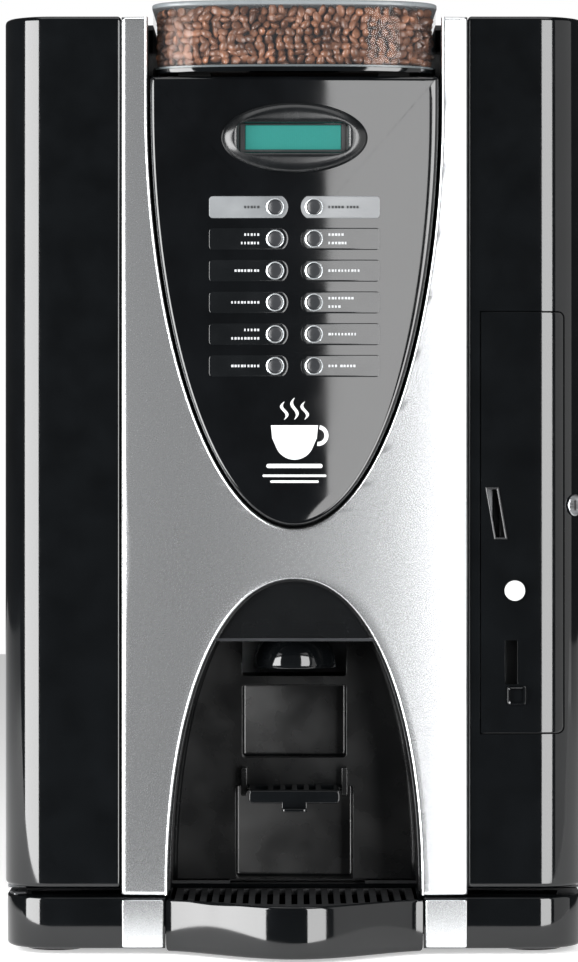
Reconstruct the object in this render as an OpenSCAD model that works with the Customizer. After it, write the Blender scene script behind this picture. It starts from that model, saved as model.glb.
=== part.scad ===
// Table-top hot coffee vending machine.
// X points right, Y points to the back, Z points up, and the floor is Z = 0.
// The whole front above the base is a door that hinges on its left edge.

/* [Overall size] */
// Width over the two columns
cab_w = 460; // [430:1:490]
// Height to the top of the hopper lid
total_h = 750; // [720:1:780]
// Front plane of the two columns
col_y = -232; // [-240:1:-225]
// Rearmost plane, at the tip of the water inlet
rear_y = 282; // [270:1:300]
// Radius of the two front corners
corner_r = 39; // [30:1:45]

/* [Door] */
// Underside of the door columns
door_z0 = 53; // [52:0.5:56]
// Top of the door columns
door_z1 = 739; // [735:1:742]
// Back plane of the door
door_back = -168; // [-172:1:-164]
// Wall of every moulded door part
skin = 3; // [2:0.5:4]
// Half width of the silver fascia
fascia_hw = 136; // [130:1:140]
// Underside of the silver fascia
fascia_z0 = 48; // [47:0.5:52]
// Top of the silver fascia
fascia_z1 = 738; // [730:1:740]
// Foremost plane of the silver fascia
fascia_y = -240; // [-243:0.5:-236]
// How far the fascia falls back at its edges
fascia_sag = 4; // [2:0.5:6]
// Hinge axis of the door in X
hinge_x = -224; // [-226:0.5:-220]
// Hinge axis of the door in Y
hinge_y = -174; // [-178:0.5:-172]

/* [Control panel] */
// Half width of the control panel
panel_hw = 113.5; // [110:0.5:116]
// Height of the centre of the elliptic end
panel_zc = 669; // [660:1:680]
// Length of the elliptic end below its centre
panel_b = 331; // [300:1:340]
// Top edge of the control panel
panel_z1 = 691; // [685:0.5:692]
// Foremost plane of the control panel
panel_y = -244; // [-248:0.5:-241]
// How far the panel falls back at its edges
panel_sag = 5; // [3:0.5:7]
// Gap round the control panel
panel_gap = 2; // [1:0.5:3]
// Height of the display
lcd_z = 642.3; // [635:0.5:650]
// Half width of the display hood
hood_a = 57.5; // [50:0.5:65]
// Half height of the display hood
hood_b = 28; // [24:0.5:32]
// Height of the top row of buttons
btn_z = 588; // [580:1:595]
// Distance between rows of buttons
btn_pitch = 24.9; // [22:0.1:28]
// Distance of both button columns from the middle
btn_x = 15.2; // [13:0.1:18]
// Radius of a button
btn_r = 5.7; // [5:0.05:6]
// Travel of a button
btn_travel = 1.5; // [1:0.1:2]
// Half height of a label plate
plate_hh = 8.6; // [7:0.1:10]
// Outer end of a label plate
plate_x1 = 67; // [60:0.5:72]

/* [Cup niche] */
// Half width of the arch
arch_a = 99.5; // [90:0.5:105]
// Height of the arch over its foot
arch_b = 245; // [230:1:255]
// Foot of the arch
arch_z0 = 51; // [50:0.5:54]
// Roundness of the arch
arch_n = 2.15; // [2:0.05:3]
// Back wall of the niche
niche_back = -151; // [-160:1:-140]
// Bottom edge of the smoked visor
visor_z = 248.2; // [240:0.5:256]
// Top of the cup shelf
shelf_z1 = 128; // [120:1:136]
// Half width of the cup shelf
shelf_hw = 36; // [30:1:40]

/* [Payment side] */
// Left edge of the payment door
pay_x0 = 146; // [142:0.5:150]
// Right edge of the payment door
pay_x1 = 213; // [205:0.5:216]
// Lower edge of the payment door
pay_z0 = 174; // [165:1:185]
// Upper edge of the payment door
pay_z1 = 507; // [495:1:515]
// Centre of the coin slot in X
coin_x = 158.8; // [155:0.1:164]
// Centre of the coin slot in Z
coin_z = 347.8; // [340:0.1:356]
// Centre of the reject button in X
reject_x = 173.4; // [170:0.1:178]
// Centre of the reject button in Z
reject_z = 287; // [280:0.5:294]
// Radius of the reject button
reject_r = 8.2; // [7:0.1:9]
// Height of the key lock
lock_z = 354; // [345:1:365]

/* [Base and drip tray] */
// Height of the feet below the plinth
foot_h = 5; // [4:0.5:8]
// Radius of a foot
foot_r = 25; // [20:1:28]
// Top of the plinth
base_z1 = 45.5; // [44:0.5:46]
// Half width of the drip tray
tray_hw = 101; // [98:0.5:104]
// How far the drip tray bows out of the columns
tray_bow = 50; // [40:1:60]
// Top edge of the drip tray
tray_z1 = 44; // [42:0.5:45]

/* [Hopper and works] */
// Half width of the bean hopper
hopper_hw = 112; // [105:0.5:113]
// Underside of the hopper's ledge
hopper_z0 = 694; // [693:0.5:696]
// Underside of the hopper lid
hopper_z1 = 746; // [742:0.5:747]
// Foremost plane of the hopper
hopper_y = -250; // [-255:1:-245]
// Front face of the bulkhead that carries the works
bulk_y = 70; // [60:1:80]
// Wall of sheet metal parts
sheet = 2.5; // [1.5:0.5:3]

/* [Hidden] */
hopper_yc = -205;
hopper_rear = -60;
cab_front = -165;
cab_rear = 268;
cab_z0 = 46;
cab_z1 = 735;
fascia_R = (fascia_hw * fascia_hw + fascia_sag * fascia_sag) / (2 * fascia_sag);
panel_R = (panel_hw * panel_hw + panel_sag * panel_sag) / (2 * panel_sag);
well_hw = tray_hw + 0.6;
well_back = -140;
inner_a = arch_a - 1.5;
inner_b = arch_b - 1.5;
shelf_py = -155.5;
shelf_pz = 125;
pay_gap = 0.6;
pay_hx = pay_x0 + pay_gap + skin / 2;
grind_y = -105;
spout_y = -97;
can_x = [-96, 96, 162];
bowl_x = [-96, 129];
$fn = 64;

// ---------- outlines ----------

// Plan of the machine with both front corners rounded
module front_plan(w, yf, yb, r) {
    translate([-w / 2, yf + r])
        square([w, yb - yf - r]);
    translate([-w / 2 + r, yf])
        square([w - 2 * r, r + 1]);
    intersection() {
        for (s = [-1, 1])
            translate([s * (w / 2 - r), yf + r])
                circle(r = r, $fn = 96);
        translate([-w / 2, yf])
            square([w, r + 0.5]);
    }
}

// Points of an arch that stands on a level base line
function arch_pts(a, b, n, z0, steps = 60) = [
    for (i = [0 : steps])
        let (t = 180 * i / steps, c = cos(t), s = sin(t))
        [a * sign(c) * pow(abs(c), 2 / n), z0 + b * pow(s, 2 / n)]
];

// Points of a panel that is straight above zc and half an ellipse below it
function panel_pts(a, b, zc, z1, steps = 64) = concat(
    [[a, z1]],
    [for (i = [0 : steps]) let (t = -180 * i / steps) [a * cos(t), zc + b * sin(t)]],
    [[-a, z1]]
);

// Prism with its outline in X and Z, from y0 back to y1
module front_prism(y0, y1) {
    translate([0, y1, 0])
        rotate([90, 0, 0])
            linear_extrude(height = y1 - y0)
                children();
}

module box(lo, hi) {
    translate(lo)
        cube([hi[0] - lo[0], hi[1] - lo[1], hi[2] - lo[2]]);
}

// Points of a shallow curve of radius R whose foremost point is at y
function shallow_pts(y, R, hw, steps = 40) = [
    for (i = [0 : steps])
        let (x = -hw + 2 * hw * i / steps)
        [x, y + R - sqrt(R * R - x * x)]
];

// Body behind a slightly convex front
module convex(y, R, hw, z0, z1) {
    translate([0, 0, z0])
        linear_extrude(height = z1 - z0)
            polygon(concat(shallow_pts(y, R, hw), [[hw, -120], [-hw, -120]]));
}

// Round bar between two points
module bar(p, q, r) {
    d = q - p;
    len = norm(d);
    translate(p)
        rotate([0, acos(d[2] / len), atan2(d[1], d[0])])
            cylinder(r = r, h = len, $fn = 32);
}

// Box with its four vertical edges rounded
module round_box(lo, hi, r) {
    translate([0, 0, lo[2]])
        linear_extrude(height = hi[2] - lo[2])
            round_rect([lo[0], lo[1]], [hi[0], hi[1]], r);
}

module round_rect(lo, hi, r) {
    translate([lo[0] + r, lo[1]])
        square([hi[0] - lo[0] - 2 * r, hi[1] - lo[1]]);
    translate([lo[0], lo[1] + r])
        square([hi[0] - lo[0], hi[1] - lo[1] - 2 * r]);
    for (x = [lo[0] + r, hi[0] - r])
        for (y = [lo[1] + r, hi[1] - r])
            translate([x, y])
                circle(r = r, $fn = 32);
}

// ---------- fixed cabinet ----------

module cabinet_shell() {
    color("#2b2c2e") {
        difference() {
            union() {
                // floor
                box([-cab_w / 2, cab_front, cab_z0], [cab_w / 2, cab_rear, cab_z0 + sheet]);
                for (s = [-1, 1]) {
                    // side sheet
                    translate([s * (cab_w / 2 - sheet / 2), 0, 0])
                        box([-sheet / 2, cab_front, cab_z0], [sheet / 2, cab_rear, cab_z1]);
                    // front return
                    translate([s * (cab_w / 2 - 9), 0, 0])
                        box([-9, cab_front, cab_z0], [9, cab_front + sheet, cab_z1]);
                    // rear return
                    translate([s * (cab_w / 2 - 9), 0, 0])
                        box([-9, cab_rear - sheet, cab_z0], [9, cab_rear, cab_z1]);
                }
            }
            // room for the drip tray's back edge
            box([-well_hw, cab_front - 1, cab_z0 - 1], [well_hw, well_back, cab_z0 + sheet + 1]);
            // room for the niche's lower pocket as the door swings
            box([-52, cab_front - 1, cab_z0 - 1], [57.5, -120, cab_z0 + sheet + 1]);
        }
    }
}

module top_cover() {
    color("#1c1d1f") {
        difference() {
            box([-cab_w / 2, cab_front, cab_z1], [cab_w / 2, cab_rear + 2, door_z1]);
            box([-hopper_hw - 1.5, cab_front - 1, cab_z1 - 1],
                [hopper_hw + 1.5, hopper_rear + 1.5, door_z1 + 1]);
        }
        // stiffening rib across the back
        box([-200, cab_rear - 40, cab_z1 - 12], [200, cab_rear - 37, cab_z1]);
    }
}

module base_plinth() {
    color("#17181a") {
        difference() {
            translate([0, 0, foot_h])
                linear_extrude(height = base_z1 - foot_h)
                    front_plan(cab_w - 3, col_y + 1.5, cab_rear, corner_r - 1);
            // hollow body above a bottom plate
            difference() {
                translate([0, 0, foot_h + 2])
                    linear_extrude(height = base_z1)
                        front_plan(cab_w - 9, col_y + 4.5, cab_rear - 3, corner_r - 4);
                // walls of the tray well
                box([-well_hw - 3, col_y, 0], [well_hw + 3, well_back + 3, base_z1 + 9]);
                // wall behind the silver inserts
                box([-fascia_hw - 3, col_y, 0], [fascia_hw + 3, col_y + 9, base_z1 + 9]);
            }
            // well for the drip tray
            box([-well_hw, col_y - 1, foot_h + 2], [well_hw, well_back, base_z1 + 9]);
            box([-well_hw, col_y - 1, 0], [well_hw, col_y + 8, base_z1 + 9]);
            // seats for the silver inserts
            for (s = [-1, 1])
                translate([s * (fascia_hw + well_hw + 1.4) / 2, 0, 0])
                    box([-(fascia_hw - well_hw - 1.4) / 2, col_y - 1, foot_h + 0.6],
                        [(fascia_hw - well_hw - 1.4) / 2, col_y + 4, base_z1 - 1.5]);
        }
    }
}

module base_trims() {
    w = (fascia_hw - well_hw - 1.8) / 2;
    color("#aeb2b6")
        for (s = [-1, 1])
            translate([s * (fascia_hw + well_hw + 1.4) / 2, 0, 0])
                box([-w, col_y + 0.2, foot_h + 0.8], [w, col_y + 4, base_z1 - 1.7]);
}

module feet() {
    color("#101113")
        for (x = [-190, 190])
            for (y = [-178, 215])
                translate([x, y, 0]) {
                    cylinder(r = foot_r, h = foot_h);
                    cylinder(r1 = foot_r - 2, r2 = foot_r, h = 1.5);
                }
}

module rear_panel() {
    color("#3a3b3d") {
        difference() {
            box([-cab_w / 2 + 3, cab_rear, cab_z0 + 3], [cab_w / 2 - 3, cab_rear + 2, cab_z1 - 1]);
            // louvres
            for (i = [0 : 7])
                for (s = [-1, 1])
                    translate([s * 90, 0, 560 + i * 16])
                        box([-60, cab_rear - 1, 0], [60, cab_rear + 3, 7]);
            // ports
            translate([-150, cab_rear - 1, 110])
                rotate([-90, 0, 0])
                    cylinder(r = 14, h = 4);
            box([124.5, cab_rear - 1, 95.5], [175.5, cab_rear + 3, 124.5]);
        }
    }
}

module hinge_pins() {
    color("#8f9499") {
        // lower bracket between the plinth and the door, with its pin
        box([hinge_x - 5, hinge_y - 6, cab_z0 + 1.5], [hinge_x + 9, cab_front, cab_z0 + 4.5]);
        translate([hinge_x, hinge_y, cab_z0 + 4.5])
            cylinder(r = 2.5, h = 18, $fn = 48);
        // upper bracket in the door's recess, with its pin
        box([hinge_x - 5, hinge_y - 6, door_z1 - 4], [hinge_x + 5, cab_front, door_z1 - 1]);
        translate([hinge_x, hinge_y, door_z1 - 20])
            cylinder(r = 2.5, h = 17, $fn = 48);
    }
}

module water_inlet() {
    color("#b89a58")
        translate([-150, cab_rear - 12, 110])
            rotate([-90, 0, 0]) {
                difference() {
                    union() {
                        cylinder(r = 13.2, h = rear_y - cab_rear + 12, $fn = 96);
                        translate([0, 0, 4])
                            cylinder(r = 18, h = 6, $fn = 6);
                        translate([0, 0, 14])
                            cylinder(r = 18, h = 3, $fn = 6);
                    }
                    translate([0, 0, -1])
                        cylinder(r = 9, h = 40, $fn = 64);
                }
            }
}

module power_inlet() {
    color("#0f1012")
        difference() {
            union() {
                box([125, cab_rear - 18, 96], [175, cab_rear + 2, 124]);
                box([121, cab_rear + 2, 92], [179, cab_rear + 5, 128]);
            }
            round_slot_y(150, 110, 24, 16, cab_rear - 13, cab_rear + 6);
            // contact pins are left standing in the socket
        }
    color("#c9b26a")
        for (dx = [-7, 0, 7])
            box([149 + dx, cab_rear - 13, 108 + (dx == 0 ? 3 : -3)],
                [151 + dx, cab_rear + 1, 112 + (dx == 0 ? 3 : -3)]);
}

module round_slot_y(x, z, w, h, y0, y1) {
    box([x - w / 2, y0, z - h / 2], [x + w / 2, y1, z + h / 2]);
}

module bulkhead() {
    color("#9ba0a5")
        difference() {
            union() {
                box([-222, bulk_y, cab_z0 + sheet], [222, bulk_y + 2, cab_z1 - 15]);
                // folded feet
                box([-222, bulk_y, cab_z0 + sheet], [222, bulk_y + 18, cab_z0 + sheet + 2]);
            }
            // cable and hose passages
            for (x = [-150, 0, 150])
                translate([x, bulk_y - 1, 262])
                    rotate([-90, 0, 0])
                        cylinder(r = 14, h = 4);
            box([-100, bulk_y - 1, 655], [100, bulk_y + 3, 695]);
        }
}

// ---------- works ----------

module boiler() {
    color("#c7ccd0") {
        translate([-110, 150, 310])
            cylinder(r = 58, h = 170);
        translate([-110, 150, 480])
            cylinder(r1 = 58, r2 = 40, h = 14);
        translate([-110, 150, 296])
            cylinder(r1 = 40, r2 = 58, h = 14);
        translate([-110, 150, 494])
            cylinder(r = 8, h = 22);
        for (z = [330, 440])
            box([-125, bulk_y + 2, z], [-95, 100, z + 18]);
    }
}

module pump() {
    color("#7d8287") {
        box([80, 120, cab_z0 + sheet], [180, 180, 62]);
        translate([85, 150, 86])
            rotate([0, 90, 0])
                cylinder(r = 26, h = 60);
        translate([145, 150, 86])
            rotate([0, 90, 0])
                cylinder(r = 19, h = 34);
        box([100, 135, 60], [130, 165, 70]);
    }
}

module grinder_body() {
    color("#404346")
        difference() {
            union() {
                translate([0, grind_y, 575])
                    cylinder(r = 38, h = 65);
                translate([0, grind_y, 640])
                    cylinder(r = 24, h = 12);
                translate([0, grind_y, 548])
                    cylinder(r1 = 14, r2 = 34, h = 27);
                // arm to the bulkhead
                box([-18, grind_y + 30, 585], [18, bulk_y, 625]);
                // motor
                translate([0, 20, 545])
                    cylinder(r = 32, h = 120);
            }
            // chamber for the burr, open to the hopper above
            translate([0, grind_y, 598])
                cylinder(r = 28, h = 36);
            translate([0, grind_y, 630])
                cylinder(r = 17, h = 30);
            // chute below it
            translate([0, grind_y, 540])
                cylinder(r = 9, h = 45);
            translate([0, grind_y, 580])
                cylinder(r = 4.05, h = 30);
            translate([0, grind_y - 16, 540])
                cylinder(r = 5, h = 62);
        }
}

module grinder_burr() {
    color("#c2c6ca")
        difference() {
            translate([0, grind_y, 0]) {
                translate([0, 0, 602])
                    cylinder(r = 25, h = 12);
                translate([0, 0, 614])
                    cylinder(r1 = 25, r2 = 9, h = 12);
                translate([0, 0, 586])
                    cylinder(r = 4, h = 17, $fn = 48);
            }
            // grinding teeth
            for (a = [0 : 30 : 330])
                translate([0, grind_y, 0])
                    rotate([0, 0, a])
                        box([17, -1.5, 612], [30, 1.5, 616]);
        }
}

module brew_unit() {
    color("#5a5e62")
        difference() {
            union() {
                box([-48, -112, 330], [48, -22, 350]);
                box([-48, -112, 500], [48, -22, 520]);
                for (s = [-1, 1])
                    box([s * 41 - 7, -112, 330], [s * 41 + 7, -22, 520]);
                translate([0, -67, 350])
                    cylinder(r = 31, h = 95);
                // bracket to the bulkhead
                box([-34, -22, 420], [34, bulk_y, 480]);
                box([-34, -40, 420], [34, -22, 520]);
                // funnel under the grinder
                translate([0, grind_y + 12, 520])
                    cylinder(r1 = 16, r2 = 24, h = 22);
            }
            // infusion chamber
            translate([0, -67, 340])
                cylinder(r = 24, h = 200, $fn = 96);
            translate([0, grind_y + 12, 505])
                cylinder(r1 = 10, r2 = 20, h = 40);
            // spent grounds drop through the base
            translate([0, -67, 320])
                cylinder(r = 17, h = 40);
        }
}

module brew_piston() {
    color("#d9dbdd")
        translate([0, -67, 0]) {
            translate([0, 0, 446])
                cylinder(r = 23.95, h = 14, $fn = 96);
            translate([0, 0, 460])
                cylinder(r = 6, h = 38);
            translate([0, 0, 492])
                cylinder(r = 14, h = 6);
        }
}

module canisters() {
    color("#e3e4e2")
        for (x = can_x)
            difference() {
                union() {
                    box([x - 30, -84, 455], [x + 30, 46, 650]);
                    // spout
                    box([x - 18, -112, 440], [x + 18, -84, 490]);
                }
                // powder space above a trough
                box([x - 27.5, -81.5, 482], [x + 27.5, 43.5, 651]);
                translate([x, 43.5, 476])
                    rotate([90, 0, 0])
                        cylinder(r = 17, h = 125);
                // mouth and spout
                translate([x, -80, 476])
                    rotate([90, 0, 0])
                        cylinder(r = 15.5, h = 29.5);
                box([x - 14, -109, 430], [x + 14, -87, 476]);
                // shaft hole
                translate([x, 50, 476])
                    rotate([90, 0, 0])
                        cylinder(r = 4.05, h = 12, $fn = 48);
            }
}

module auger(x) {
    color("#f0f0ee")
        translate([x, 0, 476])
            rotate([90, 0, 0]) {
                translate([0, 0, -56])
                    cylinder(r = 4, h = 148, $fn = 48);
                for (i = [0 : 8])
                    translate([0, 0, -38 + i * 14])
                        cylinder(r = 14, h = 3);
            }
}

module mixer_bowls() {
    color("#d4d6d4")
        for (x = bowl_x)
            difference() {
                union() {
                    translate([x, spout_y, 372])
                        cylinder(r = 34, h = 46);
                    translate([x, spout_y, 346])
                        cylinder(r1 = 14, r2 = 34, h = 26);
                    translate([x, spout_y, 326])
                        cylinder(r = 8, h = 24);
                    // seat on the whipper motor
                    box([x - 14, spout_y + 28, 372], [x + 14, spout_y + 50, 402]);
                }
                translate([x, spout_y, 374])
                    cylinder(r = 31, h = 60);
                translate([x, spout_y, 350])
                    cylinder(r1 = 11, r2 = 31, h = 24.2);
                translate([x, spout_y, 320])
                    cylinder(r = 5, h = 40);
                // whipper shaft
                translate([x, spout_y + 60, 388])
                    rotate([90, 0, 0])
                        cylinder(r = 3.05, h = 60, $fn = 48);
            }
}

module whipper(x) {
    color("#eceded")
        translate([x, spout_y, 388])
            rotate([-90, 0, 0]) {
                cylinder(r = 3, h = 58, $fn = 48);
                difference() {
                    translate([0, 0, 6])
                        cylinder(r = 16, h = 8);
                    for (a = [0 : 60 : 300])
                        rotate([0, 0, a])
                            box([9, -2, 5], [20, 2, 15]);
                }
            }
}

module drive_motors() {
    color("#33363a") {
        // auger motors behind the canisters
        for (x = can_x)
            difference() {
                translate([x, bulk_y, 476])
                    rotate([90, 0, 0])
                        cylinder(r = 20, h = bulk_y - 48);
                translate([x, 60, 476])
                    rotate([90, 0, 0])
                        cylinder(r = 4.05, h = 20, $fn = 48);
            }
        // whipper motors on their posts
        for (x = bowl_x)
            difference() {
                union() {
                    translate([x, spout_y + 50, 387])
                        rotate([-90, 0, 0])
                            cylinder(r = 21, h = 62);
                    box([x - 12, 15, 375], [x + 12, bulk_y, 399]);
                }
                translate([x, spout_y + 49, 388])
                    rotate([-90, 0, 0])
                        cylinder(r = 3.05, h = 12, $fn = 48);
            }
    }
}

module dispensing_head() {
    color("#141517")
        difference() {
            union() {
                // bell shroud over the cup
                translate([0, -178, 224])
                    cylinder(r1 = 33, r2 = 27.5, h = 20, $fn = 96);
                translate([0, -178, 244])
                    cylinder(r1 = 27.5, r2 = 20, h = 6, $fn = 96);
                // arm to the works
                box([-20, -170, 232], [20, -60, 248]);
                box([-20, -84, 232], [20, -60, 330]);
            }
            difference() {
                translate([0, -178, 223])
                    cylinder(r1 = 30.3, r2 = 25, h = 18, $fn = 96);
                for (p = [[-10, -184], [10, -184], [0, -168], [0, -182]])
                    translate([p[0], p[1], 0])
                        cylinder(r = 3.5, h = 300, $fn = 32);
            }
            for (p = [[-10, -184], [10, -184], [0, -168]])
                translate([p[0], p[1], 220])
                    cylinder(r = 2, h = 24, $fn = 32);
            // duct
            box([-16, -150, 236], [16, -66, 244]);
        }
}

module hose_run(pts, r) {
    for (i = [0 : len(pts) - 2])
        bar(pts[i], pts[i + 1], r);
    // elbow fittings
    for (i = [1 : 1 : len(pts) - 2])
        translate(pts[i])
            cube(2.6 * r, center = true);
}

module hoses() {
    color("#8fa0a6") {
        hose_run([[-96, spout_y, 326], [-96, spout_y, 300], [-60, -72, 262], [-20.1, -72, 262]], 5);
        hose_run([[129, spout_y, 326], [129, spout_y, 300], [70, -72, 262], [20.1, -72, 262]], 5);
        hose_run([[-110, 150, 516], [-110, 150, 540], [-60, 110, 560], [-60, 95, 262], [0, 80, 262],
                  [0, 20, 262], [0, -60, 262]], 4);
        hose_run([[130, 123.9, 86], [130, 112, 86], [130, 100, 110], [60, 100, 200], [-60, 105, 240],
                  [-110, 150, 262], [-110, 150, 296]], 4);
        hose_run([[-150, cab_rear - 12, 110], [-150, 230, 110], [-80, 215, 90], [60, 205, 86],
                  [130, 200, 86], [130, 176.1, 86]], 4);
    }
}

module waste_bin() {
    color("#1d1e20")
        difference() {
            round_box([-90, -114, cab_z0 + sheet + 0.5], [90, 60, 205], 10);
            round_box([-87, -111, cab_z0 + sheet + 3.5], [87, 57, 210], 7);
        }
}

// ---------- bean hopper ----------

function hopper_pts(a, b) = concat(
    [[a, hopper_rear + (hopper_hw - a) * -1]],
    [for (i = [0 : 48])
        let (t = -180 * i / 48, c = cos(t), s = -sin(t))
        [a * sign(c) * pow(abs(c), 2 / 2.6), hopper_yc - b * pow(s, 2 / 2.6)]],
    [[-a, hopper_rear + (hopper_hw - a) * -1]]
);

module hopper_plan(inset) {
    polygon(hopper_pts(hopper_hw - inset, hopper_yc - hopper_y - inset));
}

module hopper() {
    color("#c8d4d8", 0.4)
        difference() {
            union() {
                translate([0, 0, hopper_z0])
                    linear_extrude(height = hopper_z1 - hopper_z0)
                        hopper_plan(0);
                // funnel and neck down to the grinder
                translate([0, grind_y, 664])
                    cylinder(r1 = 24, r2 = 42, h = 30.5);
                translate([0, grind_y, 652.2])
                    cylinder(r = 24, h = 12);
            }
            translate([0, 0, hopper_z0 + 3])
                linear_extrude(height = hopper_z1)
                    hopper_plan(3);
            translate([0, grind_y, 664])
                cylinder(r1 = 17, r2 = 36, h = 33.1);
            translate([0, grind_y, 650])
                cylinder(r = 17, h = 20);
        }
}

module coffee_beans() {
    color("#6b3f22")
        translate([0, 0, hopper_z0 + 3.5])
            linear_extrude(height = 36)
                hopper_plan(3.5);
}

module hopper_lid() {
    color("#b9c4c8", 0.5) {
        translate([0, 0, hopper_z1 + 0.3])
            linear_extrude(height = total_h - hopper_z1 - 0.3)
                hopper_plan(-0.8);
        // rounded back edge about the hinge
        translate([-100, hopper_rear + 0.8, total_h - 1.85])
            rotate([0, 90, 0])
                cylinder(r = 1.85, h = 200, $fn = 48);
    }
}

// ---------- drip tray ----------

function tray_pts(inset, yb) =
    let (a = tray_hw - inset)
    concat(
        [[a, yb]],
        [for (i = [0 : 56])
            let (u = 1 - 2 * i / 56)
            [a * u, col_y + inset * (1 - pow(cos(90 * u), 0.5)) + 0.001
                - (tray_bow - inset) * pow(cos(90 * u), 1.45)]],
        [[-a, yb]]
    );

module tray_plan(inset, yb) {
    polygon(tray_pts(inset, yb));
}

module drip_tray() {
    color("#141516")
        difference() {
            union() {
                // bowed front
                translate([0, 0, 3])
                    linear_extrude(height = tray_z1 - 3)
                        tray_plan(0, col_y + 6);
                // drawer that runs back into the base
                box([-tray_hw, col_y + 5, foot_h + 2.3], [tray_hw, niche_back + 2, tray_z1]);
            }
            // basin
            translate([0, 0, 11])
                linear_extrude(height = 40)
                    tray_plan(6.5, niche_back - 4);
            // seat for the grille
            translate([0, 0, tray_z1 - 5])
                linear_extrude(height = 10)
                    tray_plan(3.5, niche_back - 1);
        }
    // level float
    color("#b03a2e")
        box([-11, col_y - 30, 11], [11, col_y - 16, 33]);
}

module drip_grille() {
    color("#202224")
        difference() {
            intersection() {
                translate([0, 0, tray_z1 - 4.9])
                    linear_extrude(height = 4.7)
                        tray_plan(4, niche_back - 1.5);
                box([-94.5, -400, 0], [94.5, 0, 100]);
            }
            // drain slots
            for (i = [-9 : 9])
                translate([i * 9.6, 0, 0])
                    box([-2.4, col_y - 30 * cos(i * 9), 0], [2.4, niche_back - 9, 100]);
        }
}

// ---------- door ----------

module door_frame() {
    color("#55595d")
        difference() {
            union() {
                box([-226.5, door_back - 2.5, 57], [226.5, door_back, 735]);
                // stiffening folds
                for (z = [330, 700])
                    box([-130, door_back - 12, z], [130, door_back - 2, z + 2.5]);
            }
            // clear of the niche liner
            box([-113, door_back - 20, 50], [113, door_back + 1, 312]);
            // notch for the bean hopper
            box([-117, door_back - 20, 688], [117, door_back + 1, 740]);
            // corner recesses at the hinge
            box([-231, door_back - 20, 50], [-213, door_back + 1, 76]);
            box([-231, door_back - 20, 716], [-213, door_back + 1, 740]);
        }
}

// One column: a moulded channel that is open to the back
module column_body(s) {
    gap = 0.3;
    difference() {
        intersection() {
            translate([0, 0, door_z0])
                linear_extrude(height = door_z1 - door_z0)
                    front_plan(cab_w, col_y, door_back, corner_r);
            if (s < 0)
                box([-240, -300, 0], [-fascia_hw - gap, 0, 800]);
            else
                box([fascia_hw + gap, -300, 0], [240, 0, 800]);
        }
        intersection() {
            translate([0, 0, door_z0 + skin])
                linear_extrude(height = door_z1 - door_z0 - 2 * skin)
                    front_plan(cab_w - 2 * skin, col_y + skin, door_back + 1, corner_r - skin);
            if (s < 0)
                box([-240, -300, 0], [-fascia_hw - gap - skin, 0, 800]);
            else
                box([fascia_hw + gap + skin, -300, 0], [240, 0, 800]);
        }
        // seat of the door's frame plate
        box([-226.7, door_back - 2.7, 56.8], [226.7, door_back + 1, 735.2]);
    }
}

module left_column() {
    color("#0b0c0e")
        difference() {
            union() {
                column_body(-1);
                // bosses for the hinge pins
                box([-228, -190, door_z0], [-213.5, door_back, door_z0 + 20]);
                box([-228, -190, door_z1 - 22], [-213.5, door_back, door_z1]);
            }
            // pin holes
            translate([hinge_x, hinge_y, door_z0 - 1])
                cylinder(r = 2.55, h = 17, $fn = 48);
            translate([hinge_x, hinge_y, door_z1 - 21])
                cylinder(r = 2.55, h = 22, $fn = 48);
            // recess for the upper bracket
            box([-231, hinge_y - 8.3, door_z1 - 4.6], [hinge_x + 8.3, door_back + 1, door_z1 + 1]);
        }
}

module right_column() {
    color("#0b0c0e")
        difference() {
            column_body(1);
            // opening for the payment door
            box([pay_x0, col_y - 1, pay_z0], [pay_x1, col_y + 14, pay_z1]);
            // hole for the key lock on the corner
            lock_place()
                translate([0, 0, -12])
                    cylinder(r = 7.55, h = 30, $fn = 64);
        }
}

// Puts its children on the right corner, with Z out of the surface
module lock_place() {
    translate([cab_w / 2 - corner_r, col_y + corner_r, lock_z])
        rotate([0, 0, 50])
            translate([0, -corner_r, 0])
                rotate([90, 0, 0])
                    children();
}

module silver_fascia() {
    color("#b4b8bc")
        difference() {
            intersection() {
                convex(fascia_y, fascia_R, fascia_hw, fascia_z0, fascia_z1);
                box([-fascia_hw, -300, fascia_z0], [fascia_hw, door_back - 2.6, fascia_z1]);
            }
            // hollow behind the skin
            intersection() {
                convex(fascia_y + skin, fascia_R, fascia_hw, fascia_z0 + skin, fascia_z1 - skin);
                box([-fascia_hw + skin, -300, fascia_z0 + skin],
                    [fascia_hw - skin, 0, fascia_z1 - skin]);
            }
            // opening for the control panel and the hopper
            front_prism(-260, -150)
                polygon(panel_pts(panel_hw + panel_gap, panel_b + panel_gap, panel_zc, 800));
            // arch of the cup niche
            front_prism(-260, -150)
                polygon(arch_pts(arch_a, arch_b, arch_n, arch_z0));
            box([-arch_a, -260, 0], [arch_a, -150, arch_z0 + 0.01]);
        }
}

// Everything behind the panel's front, moved forward by off
module panel_cyl(off, z0 = 300, z1 = 760) {
    convex(panel_y - off, panel_R, 118, z0, z1);
}

module lcd_window(y0, y1, grow = 0) {
    box([-43 - grow, y0, 631.2 - grow], [41 + grow, y1, 653.3 + grow]);
}

module control_panel() {
    color("#08090b")
        difference() {
            intersection() {
                panel_cyl(0);
                front_prism(panel_y - 1, panel_y + 10)
                    polygon(panel_pts(panel_hw, panel_b, panel_zc, panel_z1));
            }
            lcd_window(panel_y - 5, panel_y + 20);
            for (i = [0 : 5])
                for (s = [-1, 1])
                    translate([s * btn_x, panel_y - 5, btn_z - i * btn_pitch])
                        rotate([-90, 0, 0]) {
                            cylinder(r = btn_r + 0.1, h = 30, $fn = 64);
                            // recess for the button's flange
                            translate([0, 0, 13.4])
                                cylinder(r = btn_r + 1.8, h = 10, $fn = 64);
                        }
        }
}

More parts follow.
